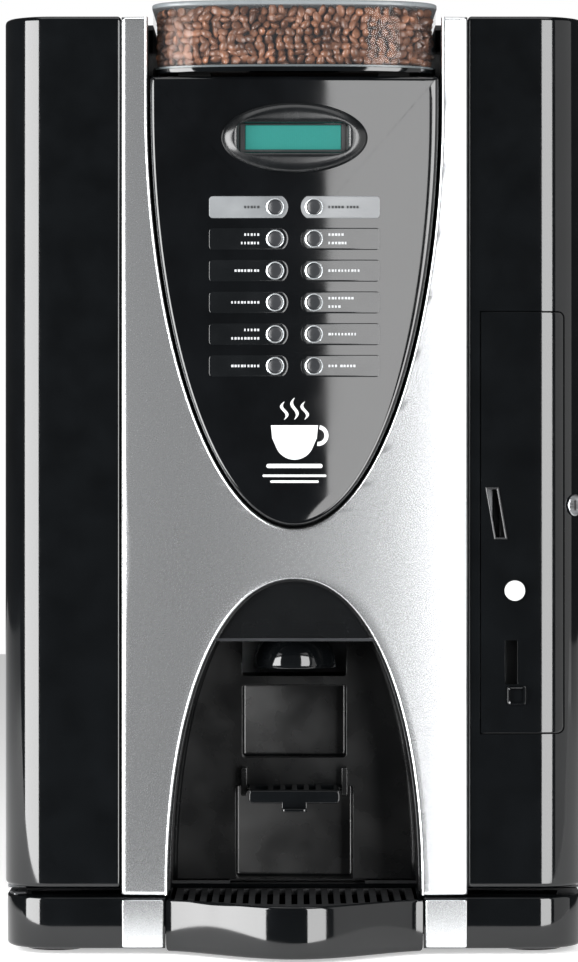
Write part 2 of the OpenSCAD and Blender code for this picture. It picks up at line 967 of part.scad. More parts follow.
module lcd_bezel() {
    color("#0e0f11")
        difference() {
            for (k = [0 : 3])
                front_prism(panel_y - 1.5 * k - 1, panel_y + 2)
                    polygon([for (i = [0 : 63])
                        [(hood_a - 1.2 * k * k) * cos(i * 5.625),
                         lcd_z + (hood_b - 1.1 * k * k) * sin(i * 5.625)]]);
            panel_cyl(0.02);
            lcd_window(panel_y - 20, panel_y + 20);
        }
}

module lcd_screen() {
    color("#2f8f86")
        box([-42.5, panel_y + 2, 631.7], [40.5, panel_y + 5, 652.8]);
}

module plate_2d() {
    intersection() {
        union() {
            translate([0, -plate_hh])
                square([plate_x1 - btn_x - 3, 2 * plate_hh]);
            translate([0, -plate_hh + 3])
                square([plate_x1 - btn_x, 2 * plate_hh - 6]);
            for (s = [-1, 1])
                translate([plate_x1 - btn_x - 3, s * (plate_hh - 3)])
                    circle(r = 3, $fn = 32);
            circle(r = 10.3, $fn = 64);
        }
        translate([-20, -plate_hh])
            square([100, 2 * plate_hh]);
    }
}

module label_plates() {
    color("#c9ccce")
        intersection() {
            difference() {
                panel_cyl(0.85);
                panel_cyl(0.02);
            }
            front_prism(panel_y - 2, panel_y + 6)
                difference() {
                    for (i = [0 : 5]) {
                        translate([btn_x, btn_z - i * btn_pitch])
                            plate_2d();
                        translate([-btn_x, btn_z - i * btn_pitch])
                            mirror([1, 0])
                                plate_2d();
                    }
                    for (i = [0 : 5])
                        for (s = [-1, 1])
                            translate([s * btn_x, btn_z - i * btn_pitch])
                                circle(r = btn_r + 0.1, $fn = 64);
                }
        }
}

// Button k counts down the left column, then down the right one
module button(k) {
    s = k < 6 ? -1 : 1;
    i = k % 6;
    color("#2a2c2f")
        translate([s * btn_x, panel_y - 1.6, btn_z - i * btn_pitch])
            rotate([-90, 0, 0]) {
                cylinder(r = btn_r, h = 13, $fn = 64);
                translate([0, 0, 10.2])
                    cylinder(r = btn_r + 1.6, h = 1.6, $fn = 64);
            }
}

module control_board() {
    color("#1f5a3c") {
        box([-80, -214, 440], [80, -212.4, 660]);
        // buttons' switches and the main parts
        for (z = [455, 645])
            for (x = [-72, 72])
                translate([x, door_back - 2.5, z])
                    rotate([90, 0, 0])
                        cylinder(r = 3, h = -212.4 * -1 - 170.5);
        box([-60, -212.4, 470], [-20, -204, 520]);
        box([10, -212.4, 560], [60, -206, 600]);
        box([-50, -212.4, 600], [-10, -200, 630]);
    }
}

module niche_liner() {
    color("#101113")
        difference() {
            union() {
                // arched wall, open at the foot over the grille
                front_prism(-233, niche_back + 3)
                    polygon(arch_pts(arch_a + 0.9, arch_b + 0.9, arch_n, arch_z0));
                // flange behind the fascia
                front_prism(-233, -230)
                    polygon(arch_pts(arch_a + 9, arch_b + 9, arch_n, arch_z0));
                // two pockets in the back wall
                box([-50.4, niche_back, 48], [50.4, -122, 129]);
                box([-45, niche_back, 146], [45, -127, 211]);
                // lugs of the cup shelf
                for (s = [-1, 1])
                    box([s * 40.5 - 2.5, shelf_py - 6.5, 119], [s * 40.5 + 2.5, niche_back + 1, 142]);
            }
            difference() {
                front_prism(-240, niche_back)
                    polygon(arch_pts(inner_a, inner_b, arch_n, arch_z0 - 0.01));
                for (s = [-1, 1])
                    box([s * 40.5 - 2.5, shelf_py - 6.5, 119], [s * 40.5 + 2.5, niche_back + 1, 142]);
            }
            box([-inner_a, -240, 0], [inner_a, niche_back, arch_z0 + 0.01]);
            box([-47.4, niche_back - 1, 51], [47.4, -125, 126]);
            box([-42, niche_back - 1, 149], [42, -130, 208]);
            // way through for the dispensing head
            box([-42, niche_back - 1, 215], [42, niche_back + 9, 258]);
            // hinge holes of the shelf
            translate([-60, shelf_py, shelf_pz])
                rotate([0, 90, 0])
                    cylinder(r = 2.55, h = 120, $fn = 48);
        }
}

module niche_visor() {
    color("#2e3032", 0.6)
        intersection() {
            front_prism(-232.5, -229.5)
                polygon(arch_pts(inner_a - 0.3, inner_b - 0.3, arch_n, arch_z0));
            box([-110, -240, visor_z], [110, -220, 310]);
        }
}

module coin_mechanism() {
    color("#6f7377")
        difference() {
            union() {
                box([143, -218, 185], [206, -171, 300]);
                // funnel behind the coin slot
                box([148, -224, 300], [186, -190, 372]);
            }
            // coin path
            box([156, -225, 200], [162, -200, 366]);
            box([164, -219, 206], [178, -205, 252]);
        }
}

module payment_door_whole() {
    g = pay_gap;
    color("#0b0c0e")
        difference() {
            intersection() {
                difference() {
                    translate([0, 0, pay_z0 + g])
                        linear_extrude(height = pay_z1 - pay_z0 - 2 * g)
                            front_plan(cab_w, col_y, door_back, corner_r);
                    translate([0, 0, pay_z0 - 1])
                        linear_extrude(height = pay_z1 - pay_z0 + 2)
                            front_plan(cab_w - 2 * skin, col_y + skin, door_back, corner_r - skin);
                }
                box([pay_hx, -300, 0], [pay_x1 - g, -200, 800]);
            }
            // slanted coin slot
            front_prism(col_y - 1, col_y + 5)
                polygon([[coin_x - 6.9, coin_z + 19], [coin_x + 0.4, coin_z + 19],
                         [coin_x + 6.9, coin_z - 19], [coin_x - 0.4, coin_z - 19]]);
            // reject button's hole
            translate([reject_x, col_y - 1, reject_z])
                rotate([-90, 0, 0])
                    cylinder(r = reject_r + 0.1, h = 6, $fn = 64);
            // coin return
            box([165.5, col_y - 1, 213], [175.5, col_y + 5, 248]);
        }
    // rounded edge about the hinge
    color("#0b0c0e")
        translate([pay_hx, col_y + skin / 2, pay_z0 + g])
            cylinder(r = skin / 2, h = pay_z1 - pay_z0 - 2 * g, $fn = 48);
    // catch cup of the coin return
    color("#0b0c0e")
        difference() {
            box([167, col_y - 4, 197], [182, col_y + 0.5, 212]);
            box([169, col_y - 2.6, 199], [180, col_y + 0.1, 213]);
        }
}

// The plate is built of six sections with hairline joints, level with the ends of its two slots
module payment_door() {
    color("#0b0c0e")
        difference() {
            payment_door_whole();
            for (z = [213, 248, coin_z - 19, coin_z + 19])
                box([pay_x0 - 1, col_y - 1, z - 0.01], [pay_x1 + 1, -180, z + 0.01]);
        }
}

module reject_button() {
    color("#e6e8e8")
        translate([reject_x, col_y - 3.6, reject_z])
            rotate([-90, 0, 0]) {
                cylinder(r = reject_r, h = 9, $fn = 64);
                translate([0, 0, 8])
                    cylinder(r = reject_r + 2, h = 1.6, $fn = 64);
            }
}

module cup_shelf() {
    color("#9a9ea2")
        difference() {
            union() {
                box([-shelf_hw, -213, 120], [shelf_hw, shelf_py + 1, shelf_z1]);
                box([-shelf_hw, -216, 118], [shelf_hw, -213, shelf_z1]);
                // finger tab
                box([-10, -226, 112], [10, -213, 114.5]);
                box([-10, -215.5, 112], [10, -213, 121]);
                // hinge pins
                translate([-42, shelf_py, shelf_pz])
                    rotate([0, 90, 0])
                        cylinder(r = 2.5, h = 84, $fn = 48);
            }
            // drain slots
            for (i = [-3 : 3])
                box([i * 9.5 - 2.5, -206, 100], [i * 9.5 + 2.5, -164, 140]);
        }
}

module door_lock() {
    color("#c4c8cb")
        lock_place() {
            difference() {
                union() {
                    translate([0, 0, -16])
                        cylinder(r = 7.5, h = 17, $fn = 64);
                    translate([0, 0, 0.8])
                        cylinder(r = 8.6, h = 0.9, $fn = 64);
                }
                box([-0.8, -4, 0.3], [0.8, 4, 3]);
            }
            // cam
            box([-5, -22, -18], [5, 5, -16]);
        }
}

// ---------- parts ----------

cabinet_shell();
top_cover();
base_plinth();
base_trims();
feet();
rear_panel();
hinge_pins();
water_inlet();
power_inlet();
bulkhead();
boiler();
pump();
grinder_body();
brew_unit();
canisters();
mixer_bowls();
drive_motors();
dispensing_head();
hoses();
waste_bin();
hopper();
coffee_beans();
grinder_burr();
brew_piston();
auger(can_x[0]);  // auger_1
auger(can_x[1]);  // auger_2
auger(can_x[2]);  // auger_3
whipper(bowl_x[0]);  // whipper_1
whipper(bowl_x[1]);  // whipper_2
hopper_lid();
drip_tray();
drip_grille();
door_frame();
left_column();
right_column();
silver_fascia();
control_panel();
lcd_bezel();
lcd_screen();
label_plates();
control_board();
niche_liner();
niche_visor();
coin_mechanism();
payment_door();
reject_button();
cup_shelf();
door_lock();
button(0);  // button_01
button(1);  // button_02
button(2);  // button_03
button(3);  // button_04
button(4);  // button_05
button(5);  // button_06
button(6);  // button_07
button(7);  // button_08
button(8);  // button_09
button(9);  // button_10
button(10);  // button_11
button(11);  // button_12
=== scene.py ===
import math
import random

import bmesh
import bpy
from mathutils import Matrix, Vector


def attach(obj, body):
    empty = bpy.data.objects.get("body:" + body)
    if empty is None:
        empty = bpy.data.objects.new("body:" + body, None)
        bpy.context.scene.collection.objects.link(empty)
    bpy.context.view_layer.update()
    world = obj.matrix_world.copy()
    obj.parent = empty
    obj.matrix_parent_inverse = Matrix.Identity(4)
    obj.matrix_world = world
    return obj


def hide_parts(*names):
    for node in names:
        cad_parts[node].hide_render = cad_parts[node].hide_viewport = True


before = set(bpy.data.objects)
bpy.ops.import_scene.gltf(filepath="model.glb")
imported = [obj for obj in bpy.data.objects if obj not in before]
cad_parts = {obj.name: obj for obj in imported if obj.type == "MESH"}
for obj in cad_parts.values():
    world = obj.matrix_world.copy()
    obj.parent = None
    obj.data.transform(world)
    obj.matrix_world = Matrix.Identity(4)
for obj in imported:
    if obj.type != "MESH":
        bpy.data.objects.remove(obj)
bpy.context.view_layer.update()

MM = 0.001
# most of a noise texture's values lie between these
NOISE_LOW, NOISE_HIGH = 0.3, 0.7

# -------------------- materials


def material(name, color, rough=0.4, metal=0.0, coat=0.0, coat_rough=0.03, vary=0.0, vary_scale=30.0,
             rough_vary=0.05, rough_scale=60.0, bump=0.0, bump_scale=400.0, bump_dist=0.0002,
             stretch=(1, 1, 1), second=None, alpha=1.0, emission=None, emission_strength=0.0):
    """A procedural finish: noise varies colour and roughness, and drives a fine bump."""
    m = bpy.data.materials.new(name)
    m.use_nodes = True
    nt = m.node_tree
    bsdf = nt.nodes["Principled BSDF"]
    bsdf.inputs["Metallic"].default_value = metal
    bsdf.inputs["Coat Weight"].default_value = coat
    bsdf.inputs["Coat Roughness"].default_value = coat_rough
    bsdf.inputs["IOR"].default_value = 1.5
    bsdf.inputs["Alpha"].default_value = alpha
    tex = nt.nodes.new("ShaderNodeTexCoord")
    mapping = nt.nodes.new("ShaderNodeMapping")
    mapping.inputs["Scale"].default_value = stretch
    nt.links.new(tex.outputs["Object"], mapping.inputs["Vector"])

    def noise(scale, detail=3.0):
        n = nt.nodes.new("ShaderNodeTexNoise")
        n.inputs["Scale"].default_value = scale
        n.inputs["Detail"].default_value = detail
        nt.links.new(mapping.outputs["Vector"], n.inputs["Vector"])
        return n

    ramp = nt.nodes.new("ShaderNodeValToRGB")
    c1 = second if second else [min(1.0, c * (1 + vary)) for c in color]
    c0 = [c * (1 - vary) for c in color]
    ramp.color_ramp.elements[0].position = NOISE_LOW
    ramp.color_ramp.elements[1].position = NOISE_HIGH
    ramp.color_ramp.elements[0].color = (*c0, 1)
    ramp.color_ramp.elements[1].color = (*c1, 1)
    nt.links.new(noise(vary_scale).outputs["Fac"], ramp.inputs["Fac"])
    nt.links.new(ramp.outputs["Color"], bsdf.inputs["Base Color"])
    span = nt.nodes.new("ShaderNodeMapRange")
    span.inputs["From Min"].default_value = NOISE_LOW
    span.inputs["From Max"].default_value = NOISE_HIGH
    span.inputs["To Min"].default_value = max(0.0, rough - rough_vary)
    span.inputs["To Max"].default_value = min(1.0, rough + rough_vary)
    nt.links.new(noise(rough_scale).outputs["Fac"], span.inputs["Value"])
    nt.links.new(span.outputs["Result"], bsdf.inputs["Roughness"])
    if bump:
        b = nt.nodes.new("ShaderNodeBump")
        b.inputs["Strength"].default_value = bump
        b.inputs["Distance"].default_value = bump_dist
        nt.links.new(noise(bump_scale, 2.0).outputs["Fac"], b.inputs["Height"])
        nt.links.new(b.outputs["Normal"], bsdf.inputs["Normal"])
    if emission:
        bsdf.inputs["Emission Color"].default_value = (*emission, 1)
        bsdf.inputs["Emission Strength"].default_value = emission_strength
    return m


GLOSS = material("gloss_black_plastic", (0.0022, 0.0026, 0.003), rough=0.07, rough_vary=0.02, rough_scale=25,
                 vary=0.25, bump=0.012, bump_scale=38, bump_dist=0.0008)
PANEL = material("panel_black", (0.002, 0.0023, 0.0027), rough=0.06, rough_vary=0.02, rough_scale=20,
                 vary=0.25, bump=0.01, bump_scale=30, bump_dist=0.0008)
LINER = material("liner_black", (0.0018, 0.002, 0.0022), rough=0.28, rough_vary=0.05, rough_scale=35,
                 vary=0.25, bump=0.03, bump_scale=120)
SATIN = material("satin_black", (0.012, 0.0125, 0.0135), rough=0.42, vary=0.2, bump=0.25, bump_scale=900,
                 bump_dist=0.0001)
SILVER = material("silver_metallic_paint", (0.76, 0.775, 0.79), rough=0.27, metal=1.0, coat=0.1,
                  coat_rough=0.15, vary=0.012, vary_scale=3000, rough_vary=0.008, rough_scale=1500,
                  bump=0.012, bump_scale=3000, bump_dist=0.00003)
CABINET = material("cabinet_powder_coat", (0.02, 0.021, 0.023), rough=0.5, rough_vary=0.012, rough_scale=400,
                   vary=0.05, vary_scale=300, bump=0.35, bump_scale=1300, bump_dist=0.00012)
SHEET = material("galvanised_sheet", (0.55, 0.57, 0.59), rough=0.38, metal=1.0, vary=0.16, vary_scale=55,
                 rough_vary=0.12, rough_scale=45, bump=0.05, bump_scale=300)
STEEL = material("brushed_steel", (0.6, 0.61, 0.63), rough=0.3, metal=1.0, vary=0.1, vary_scale=60,
                 stretch=(1, 1, 18), bump=0.12, bump_scale=300, bump_dist=0.00008)
BRASS = material("brass", (0.66, 0.47, 0.2), rough=0.3, metal=1.0, vary=0.12, bump=0.1)
WHITE = material("white_plastic", (0.5, 0.51, 0.505), rough=0.3, vary=0.03, bump=0.05)
GREY = material("grey_plastic", (0.11, 0.115, 0.12), rough=0.45, vary=0.1, bump=0.2, bump_scale=800)
CLEAR = material("clear_plastic", (0.05, 0.055, 0.06), rough=0.05, rough_vary=0.02, vary=0.03, alpha=0.12)
LID = material("lid_plastic", (0.16, 0.18, 0.19), rough=0.3, vary=0.05, alpha=0.75, bump=0.05)
LEDGE = material("ledge_plastic", (0.07, 0.08, 0.084), rough=0.25, vary=0.06, alpha=0.95, bump=0.04)
SMOKE = material("smoked_visor", (0.006, 0.0065, 0.007), rough=0.06, rough_vary=0.02, vary=0.1, alpha=0.62)
RUBBER = material("foot_rubber", (0.012, 0.012, 0.012), rough=0.7, vary=0.2, bump=0.4, bump_scale=700)
HOSE = material("silicone_hose", (0.42, 0.46, 0.47), rough=0.45, vary=0.06, bump=0.05)
BOARD = material("circuit_board", (0.012, 0.09, 0.04), rough=0.4, vary=0.35, vary_scale=220, bump=0.2,
                 bump_scale=500)
RED = material("float_red", (0.05, 0.008, 0.006), rough=0.35, vary=0.15, bump=0.05)
KEYCAP = material("key_cap", (0.02, 0.021, 0.023), rough=0.22, vary=0.15, bump=0.1, bump_scale=600)
RING = material("key_ring", (0.62, 0.65, 0.67), rough=0.22, metal=0.75, vary=0.05)
MARK = material("pale_print", (0.35, 0.36, 0.37), rough=0.5, vary=0.04)
MARK_DARK = material("dark_print", (0.006, 0.007, 0.008), rough=0.5, vary=0.1)
EMBLEM = material("emblem_print", (0.5, 0.505, 0.505), rough=0.4, vary=0.02)
HOOD = material("hood_black", (0.003, 0.0035, 0.004), rough=0.26, rough_vary=0.04, vary=0.2, bump=0.02)
PLATE_DARK = material("plate_dark", (0.0035, 0.004, 0.0045), rough=0.1, vary=0.15, rough_vary=0.03)
PLATE_GREY = material("plate_grey", (0.085, 0.09, 0.095), rough=0.4, vary=0.1, vary_scale=25,
                      second=(0.13, 0.137, 0.142), bump=0.03)
PLATE_LIGHT = material("plate_light", (0.11, 0.115, 0.12), rough=0.4, vary=0.06, vary_scale=20,
                       second=(0.14, 0.145, 0.15), bump=0.03)
BEAN = material("roasted_bean", (0.09, 0.03, 0.012), rough=0.36, vary=0.5, vary_scale=75, rough_vary=0.1,
                second=(0.27, 0.115, 0.06), bump=0.35, bump_scale=420, bump_dist=0.0003, coat=0.2,
                coat_rough=0.25)
# beans deeper in the hopper: the beans' own brown, darkened well below the loose beans as painted shade in
# the gaps between them
SHADED_BEAN_BED = material("bean_bed", (0.03, 0.011, 0.005), rough=0.6, vary=0.4, vary_scale=160, bump=0.8,
               bump_scale=130, bump_dist=0.003)


def screen_material():
    """Teal liquid crystal with a faint grid of cells."""
    m = material("display_glass", (0.05, 0.33, 0.29), rough=0.18, vary=0.08, rough_vary=0.03,
                 emission=(0.028, 0.2, 0.175), emission_strength=0.5)
    nt = m.node_tree
    wave = nt.nodes.new("ShaderNodeTexBrick")
    wave.inputs["Scale"].default_value = 330.0
    wave.inputs["Mortar Size"].default_value = 0.03
    wave.offset = 0.0
    wave.inputs["Color1"].default_value = (0.016, 0.1, 0.09, 1)
    wave.inputs["Color2"].default_value = (0.015, 0.09, 0.08, 1)
    wave.inputs["Mortar"].default_value = (0.01, 0.07, 0.06, 1)
    tex = nt.nodes.new("ShaderNodeTexCoord")
    turn = nt.nodes.new("ShaderNodeMapping")
    turn.inputs["Rotation"].default_value = (math.radians(90), 0, 0)
    nt.links.new(tex.outputs["Object"], turn.inputs["Vector"])
    nt.links.new(turn.outputs["Vector"], wave.inputs["Vector"])
    nt.links.new(wave.outputs["Color"], nt.nodes["Principled BSDF"].inputs["Base Color"])
    return m


SCREEN = screen_material()

# -------------------- mesh helpers


def smooth(ob, angle=32):
    for p in ob.data.polygons:
        p.use_smooth = True
    ob.data.set_sharp_from_angle(angle=math.radians(angle))


def piece(name, verts, faces, mat, body, slot=None, angle=32, weld=True):
    """A mesh object from points in millimetres, riding on a body. It stands for the node of its name."""
    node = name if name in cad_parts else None
    name = name + "_look" if node else name
    me = bpy.data.meshes.new(name)
    me.from_pydata([(x * MM, y * MM, z * MM) for x, y, z in verts], [], faces)
    bm = bmesh.new()
    bm.from_mesh(me)
    if weld:
        bmesh.ops.remove_doubles(bm, verts=bm.verts, dist=2e-6)
    bmesh.ops.dissolve_degenerate(bm, edges=bm.edges, dist=1e-6)
    bmesh.ops.recalc_face_normals(bm, faces=bm.faces)
    bm.to_mesh(me)
    bm.free()
    ob = bpy.data.objects.new(name, me)
    bpy.context.scene.collection.objects.link(ob)
    me.materials.append(mat)
    smooth(ob, angle)
    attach(ob, body)
    if node:
        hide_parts(node)
    return ob


def loft(rings, closed=True, caps=True):
    """Quads between rings of equal length, with a face over each end."""
    n = len(rings[0])
    verts = [p for r in rings for p in r]
    faces = []
    for k in range(len(rings) - 1):
        for i in range(n if closed else n - 1):
            j = (i + 1) % n
            faces.append((k * n + i, k * n + j, (k + 1) * n + j, (k + 1) * n + i))
    if caps:
        faces.append(tuple(range(n - 1, -1, -1)))
        faces.append(tuple(range((len(rings) - 1) * n, len(rings) * n)))
    return verts, faces


def rings_y(levels, caps=True):
    """A loft of front-view loops, from (y, loop) pairs."""
    return loft([[(x, y, z) for x, z in lp] for y, lp in levels], caps=caps)


def rings_z(levels, caps=True):
    """A loft of plan loops, from (z, loop) pairs."""
    return loft([[(x, y, z) for x, y in lp] for z, lp in levels], caps=caps)


def walls_only(data):
    """The same mesh without its end caps."""
    verts, faces = data
    return verts, [q for q in faces if len(q) == 4]


def inset(loop, d):
    """A closed 2D loop moved inwards by d along its mitred normals."""
    n = len(loop)
    area = sum(loop[i][0] * loop[(i + 1) % n][1] - loop[(i + 1) % n][0] * loop[i][1] for i in range(n))
    sgn = 1 if area > 0 else -1
    out = []
    for i in range(n):
        a, b, c = Vector(loop[i - 1]), Vector(loop[i]), Vector(loop[(i + 1) % n])
        u, v = (b - a).normalized(), (c - b).normalized()
        n1 = Vector((-u.y, u.x)) * sgn
        n2 = Vector((-v.y, v.x)) * sgn
        m = n1 + n2
        if m.length < 1e-6:
            m = n1
        m.normalize()
        out.append(tuple(b + m * (d / max(0.35, m.dot(n1)))))
    return out


def arc(cx, cy, r, a0, a1, steps):
    """Points from angle a0 to a1, in degrees."""
    return [(cx + r * math.cos(math.radians(a0 + (a1 - a0) * i / steps)),
             cy + r * math.sin(math.radians(a0 + (a1 - a0) * i / steps))) for i in range(steps + 1)]


def rounded_rect(x0, z0, x1, z1, r, steps=6):
    return (arc(x1 - r, z1 - r, r, 0, 90, steps) + arc(x0 + r, z1 - r, r, 90, 180, steps)
            + arc(x0 + r, z0 + r, r, 180, 270, steps) + arc(x1 - r, z0 + r, r, 270, 360, steps))


def edge_levels(t, r, steps=5):
    """(height, inset) pairs for a slab of thickness t with both edges rounded to r."""
    low = [(r - r * math.cos(math.radians(90 * i / steps)), r - r * math.sin(math.radians(90 * i / steps)))
           for i in range(steps + 1)]
    return low + [(t - h, d) for h, d in reversed(low)]


def slab_levels(t, r):
    """edge_levels with a narrow flat border inside each face, which keeps the shading clean."""
    return [(0.0, r + 0.3)] + edge_levels(t, r) + [(t, r + 0.3)]


def slab_z(loop, z0, z1, r):
    """A plan loop raised from z0 to z1, with rounded edges."""
    levels = slab_levels(z1 - z0, r)
    return loft([[(x, y, z0 + h) for x, y in inset(loop, d)] for h, d in levels])


def slab_y(loop, y0, y1, r):
    """A front-view loop of (x, z) from y0 back to y1, with rounded edges."""
    levels = slab_levels(y1 - y0, r)
    return loft([[(x, y0 + h, z) for x, z in inset(loop, d)] for h, d in levels])


def turned(profile, place, n=40):
    """A turned part from (radius, height) pairs; place puts each point."""
    rings = [[place(r * math.cos(2 * math.pi * i / n), r * math.sin(2 * math.pi * i / n), h)
              for i in range(n)] for r, h in profile]
    return loft(rings)


def facing(cx, cz, y0=0.0):
    """Places a turned part with its axis along y."""
    return lambda a, b, h: (cx + a, y0 + h, cz + b)


def upright(cx, cy):
    """Places a turned part with its axis along z."""
    return lambda a, b, h: (cx + a, cy + b, h)


def join_parts(parts):
    verts, faces = [], []
    for v, f in parts:
        k = len(verts)
        verts += v
        faces += [tuple(i + k for i in q) for q in f]
    return verts, faces


def tool(data):
    """A cutter, deleted once it is used."""
    me = bpy.data.meshes.new("cutter")
    me.from_pydata([(x * MM, y * MM, z * MM) for x, y, z in data[0]], [], data[1])
    bm = bmesh.new()
    bm.from_mesh(me)
    bmesh.ops.recalc_face_normals(bm, faces=bm.faces)
    bm.to_mesh(me)
    bm.free()
    ob = bpy.data.objects.new("cutter", me)
    bpy.context.scene.collection.objects.link(ob)
    return ob


def carve(ob, cutters, angle=32):
    """Cuts the cutters out of a piece."""
    for c in cutters:
        m = ob.modifiers.new("cut", "BOOLEAN")
        m.operation = "DIFFERENCE"
        m.solver = "EXACT"
        m.object = c
    bpy.context.view_layer.update()
    dg = bpy.context.evaluated_depsgraph_get()
    me = bpy.data.meshes.new_from_object(ob.evaluated_get(dg))
    mats = [s.material for s in ob.material_slots]
    ob.modifiers.clear()
    old = ob.data
    ob.data = me
    bpy.data.meshes.remove(old)
    me.materials.clear()
    for m in mats:
        me.materials.append(m)
    for c in cutters:
        bpy.data.objects.remove(c, do_unlink=True)
    smooth(ob, angle)


def bevel(ob, width, segments=2, angle=40):
    m = ob.modifiers.new("edge", "BEVEL")
    m.width = width * MM
    m.segments = segments
    m.limit_method = "ANGLE"
    m.angle_limit = math.radians(angle)
    m.use_clamp_overlap = True


# -------------------- main sizes, in millimetres

# outer half width, front, foot and top of the columns, and their outer corner's radius
HALF_W, COL_Y, COL_Z0, COL_Z1, CR = 230.0, -232.0, 53.0, 739.0, 39.0
# fascia: half width, front at its middle, bow, foot and top
FAS_HW, FAS_Y, FAS_SAG, FAS_Z0, FAS_Z1 = 136.0, -240.0, 4.0, 48.0, 738.0
FAS_R = (FAS_HW ** 2 + FAS_SAG ** 2) / (2 * FAS_SAG)
# control panel: half width, depth of its half ellipse, the ellipse's centre, top, front, bow
PAN_HW, PAN_B, PAN_ZC, PAN_Z1, PAN_Y, PAN_SAG = 113.5, 331.0, 669.0, 691.0, -244.0, 5.0
PAN_R = (PAN_HW ** 2 + PAN_SAG ** 2) / (2 * PAN_SAG)
# arch of the niche, a superellipse, and the liner inside it
ARCH_A, ARCH_B, ARCH_N, ARCH_Z = 99.5, 245.0, 2.15, 51.0
IN_A, IN_B = 98.0, 243.5
NICHE_BACK = -151.0
# selection buttons: distance from the centre line, top row, row spacing and the hole in the panel
BTN_X, BTN_Z, PITCH, BTN_HOLE = 15.2, 588.0, 24.9, 5.85
# display: height of its middle
LCD_Z = 642.3
# payment door and the opening behind it: left, foot, right, top and corner radius
PAY_X0, PAY_Z0, PAY_X1, PAY_Z1, PAY_R = 146.6, 174.6, 212.4, 506.4, 5.0
BAY_X0, BAY_Z0, BAY_X1, BAY_Z1, BAY_R = 145.9, 174.0, 213.0, 507.0, 5.5
# coin reject button's centre
REJ_X, REJ_Z = 173.4, 287.0
# door lock: its direction round the right column's corner, in degrees from straight ahead, and its height
LOCK_ANGLE, LOCK_Z = 50, 354
# hopper: half width, where its bowed front starts, its front and its rear, and the bow's superellipse power
HOP_HW, HOP_YC, HOP_Y, HOP_REAR = 112.0, -205.0, -250.0, -60.0
BOW_POWER = 2.6
# y of the upright axes of the grinder and of the dispensing head
GRINDER_Y, HEAD_Y = -105, -178
# drip tray: half width, and how far its front bows out
TRAY_HW, BOW = 101.0, 50.0
# vertical hinge pin of the door
HINGE_X, HINGE_Y = -224, -174


def super_point(a, b, power, t):
    """Point at angle t on a superellipse with half axes a and b."""
    c, s = math.cos(t), math.sin(t)
    return (a * math.copysign(abs(c) ** (2 / power), c), b * math.copysign(abs(s) ** (2 / power), s))


def fas_front(x):
    return FAS_Y + FAS_R - math.sqrt(FAS_R ** 2 - x * x)


def pan_front(x):
    return PAN_Y + PAN_R - math.sqrt(PAN_R ** 2 - x * x)


# -------------------- columns


def column_plan(s):
    """Plan of one column; s is -1 on the left."""
    back = -171.2
    pts = [(FAS_HW + 0.3, back)]
    pts += arc(FAS_HW + 0.3 + 3, COL_Y + 3, 3, 180, 270, 5)
    pts += [(150.0, COL_Y), (170.0, COL_Y)]
    pts += arc(HALF_W - CR, COL_Y + CR, CR, 270, 360, 26)
    pts += [(HALF_W, back)]
    return [(s * x, y) for x, y in pts]


def column(name, s):
    return piece(name, *slab_z(column_plan(s), COL_Z0, COL_Z1, 3.5), GLOSS, "door", slot="gloss_black")


left = column("left_column", -1)
right = column("right_column", 1)
# recesses for the hinge bracket and the hinge pins
carve(left, [tool(slab_y(rounded_rect(-240, 733.9, -215.4, 760, 1), -182.6, -150, 0.1)),
             tool(slab_z(arc(HINGE_X, HINGE_Y, 2.6, 0, 345, 15), 40, 71, 0.1)),
             tool(slab_z(arc(HINGE_X, HINGE_Y, 2.6, 0, 345, 15), 716, 760, 0.1))])
# opening behind the payment door, square at its hinge side
carve(right, [tool(slab_y([(BAY_X0, BAY_Z1), (BAY_X0, BAY_Z0)]
                          + arc(BAY_X1 - BAY_R, BAY_Z0 + BAY_R, BAY_R, 270, 360, 6)
                          + arc(BAY_X1 - BAY_R, BAY_Z1 - BAY_R, BAY_R, 0, 90, 6), -260, -196, 0.1))])


def lock_frame(u, v, w):
    """A point near the lock: u along the surface, v up, w outwards."""
    a = math.radians(LOCK_ANGLE)
    cx, cy = HALF_W - CR, COL_Y + CR
    out = (math.sin(a), -math.cos(a))
    side = (math.cos(a), math.sin(a))
    return (cx + out[0] * (CR + w) + side[0] * u, cy + out[1] * (CR + w) + side[1] * u, LOCK_Z + v)


carve(right, [tool(turned([(7.55, -14), (7.55, 6)], lock_frame))])
bevel(right, 0.5, 2)
piece("door_lock", *join_parts([
    turned([(7.4, -16), (7.4, 0.5), (8.5, 0.7), (8.5, 1.2), (8.1, 1.6), (5.4, 1.65), (5.2, 1.2), (0.5, 1.2)],
           lock_frame),
    loft([[lock_frame(u, v, w) for u, v in rounded_rect(-5, -22, 5, 5, 3)] for w in (-18, -16)]),
]), STEEL, "lock", slot="steel")
piece("lock_keyway", *loft([[lock_frame(u, v, w) for u, v in rounded_rect(-0.9, -4, 0.9, 4, 0.5)]
                            for w in (1.0, 1.45)]), SATIN, "lock")

# -------------------- payment door


def corner_y(x, off=0.0):
    """Front of the column at x, moved in by off."""
    c = HALF_W - CR
    if x <= c:
        return COL_Y + off
    r = CR - off
    return COL_Y + CR - math.sqrt(max(0.0, r * r - (x - c) ** 2))


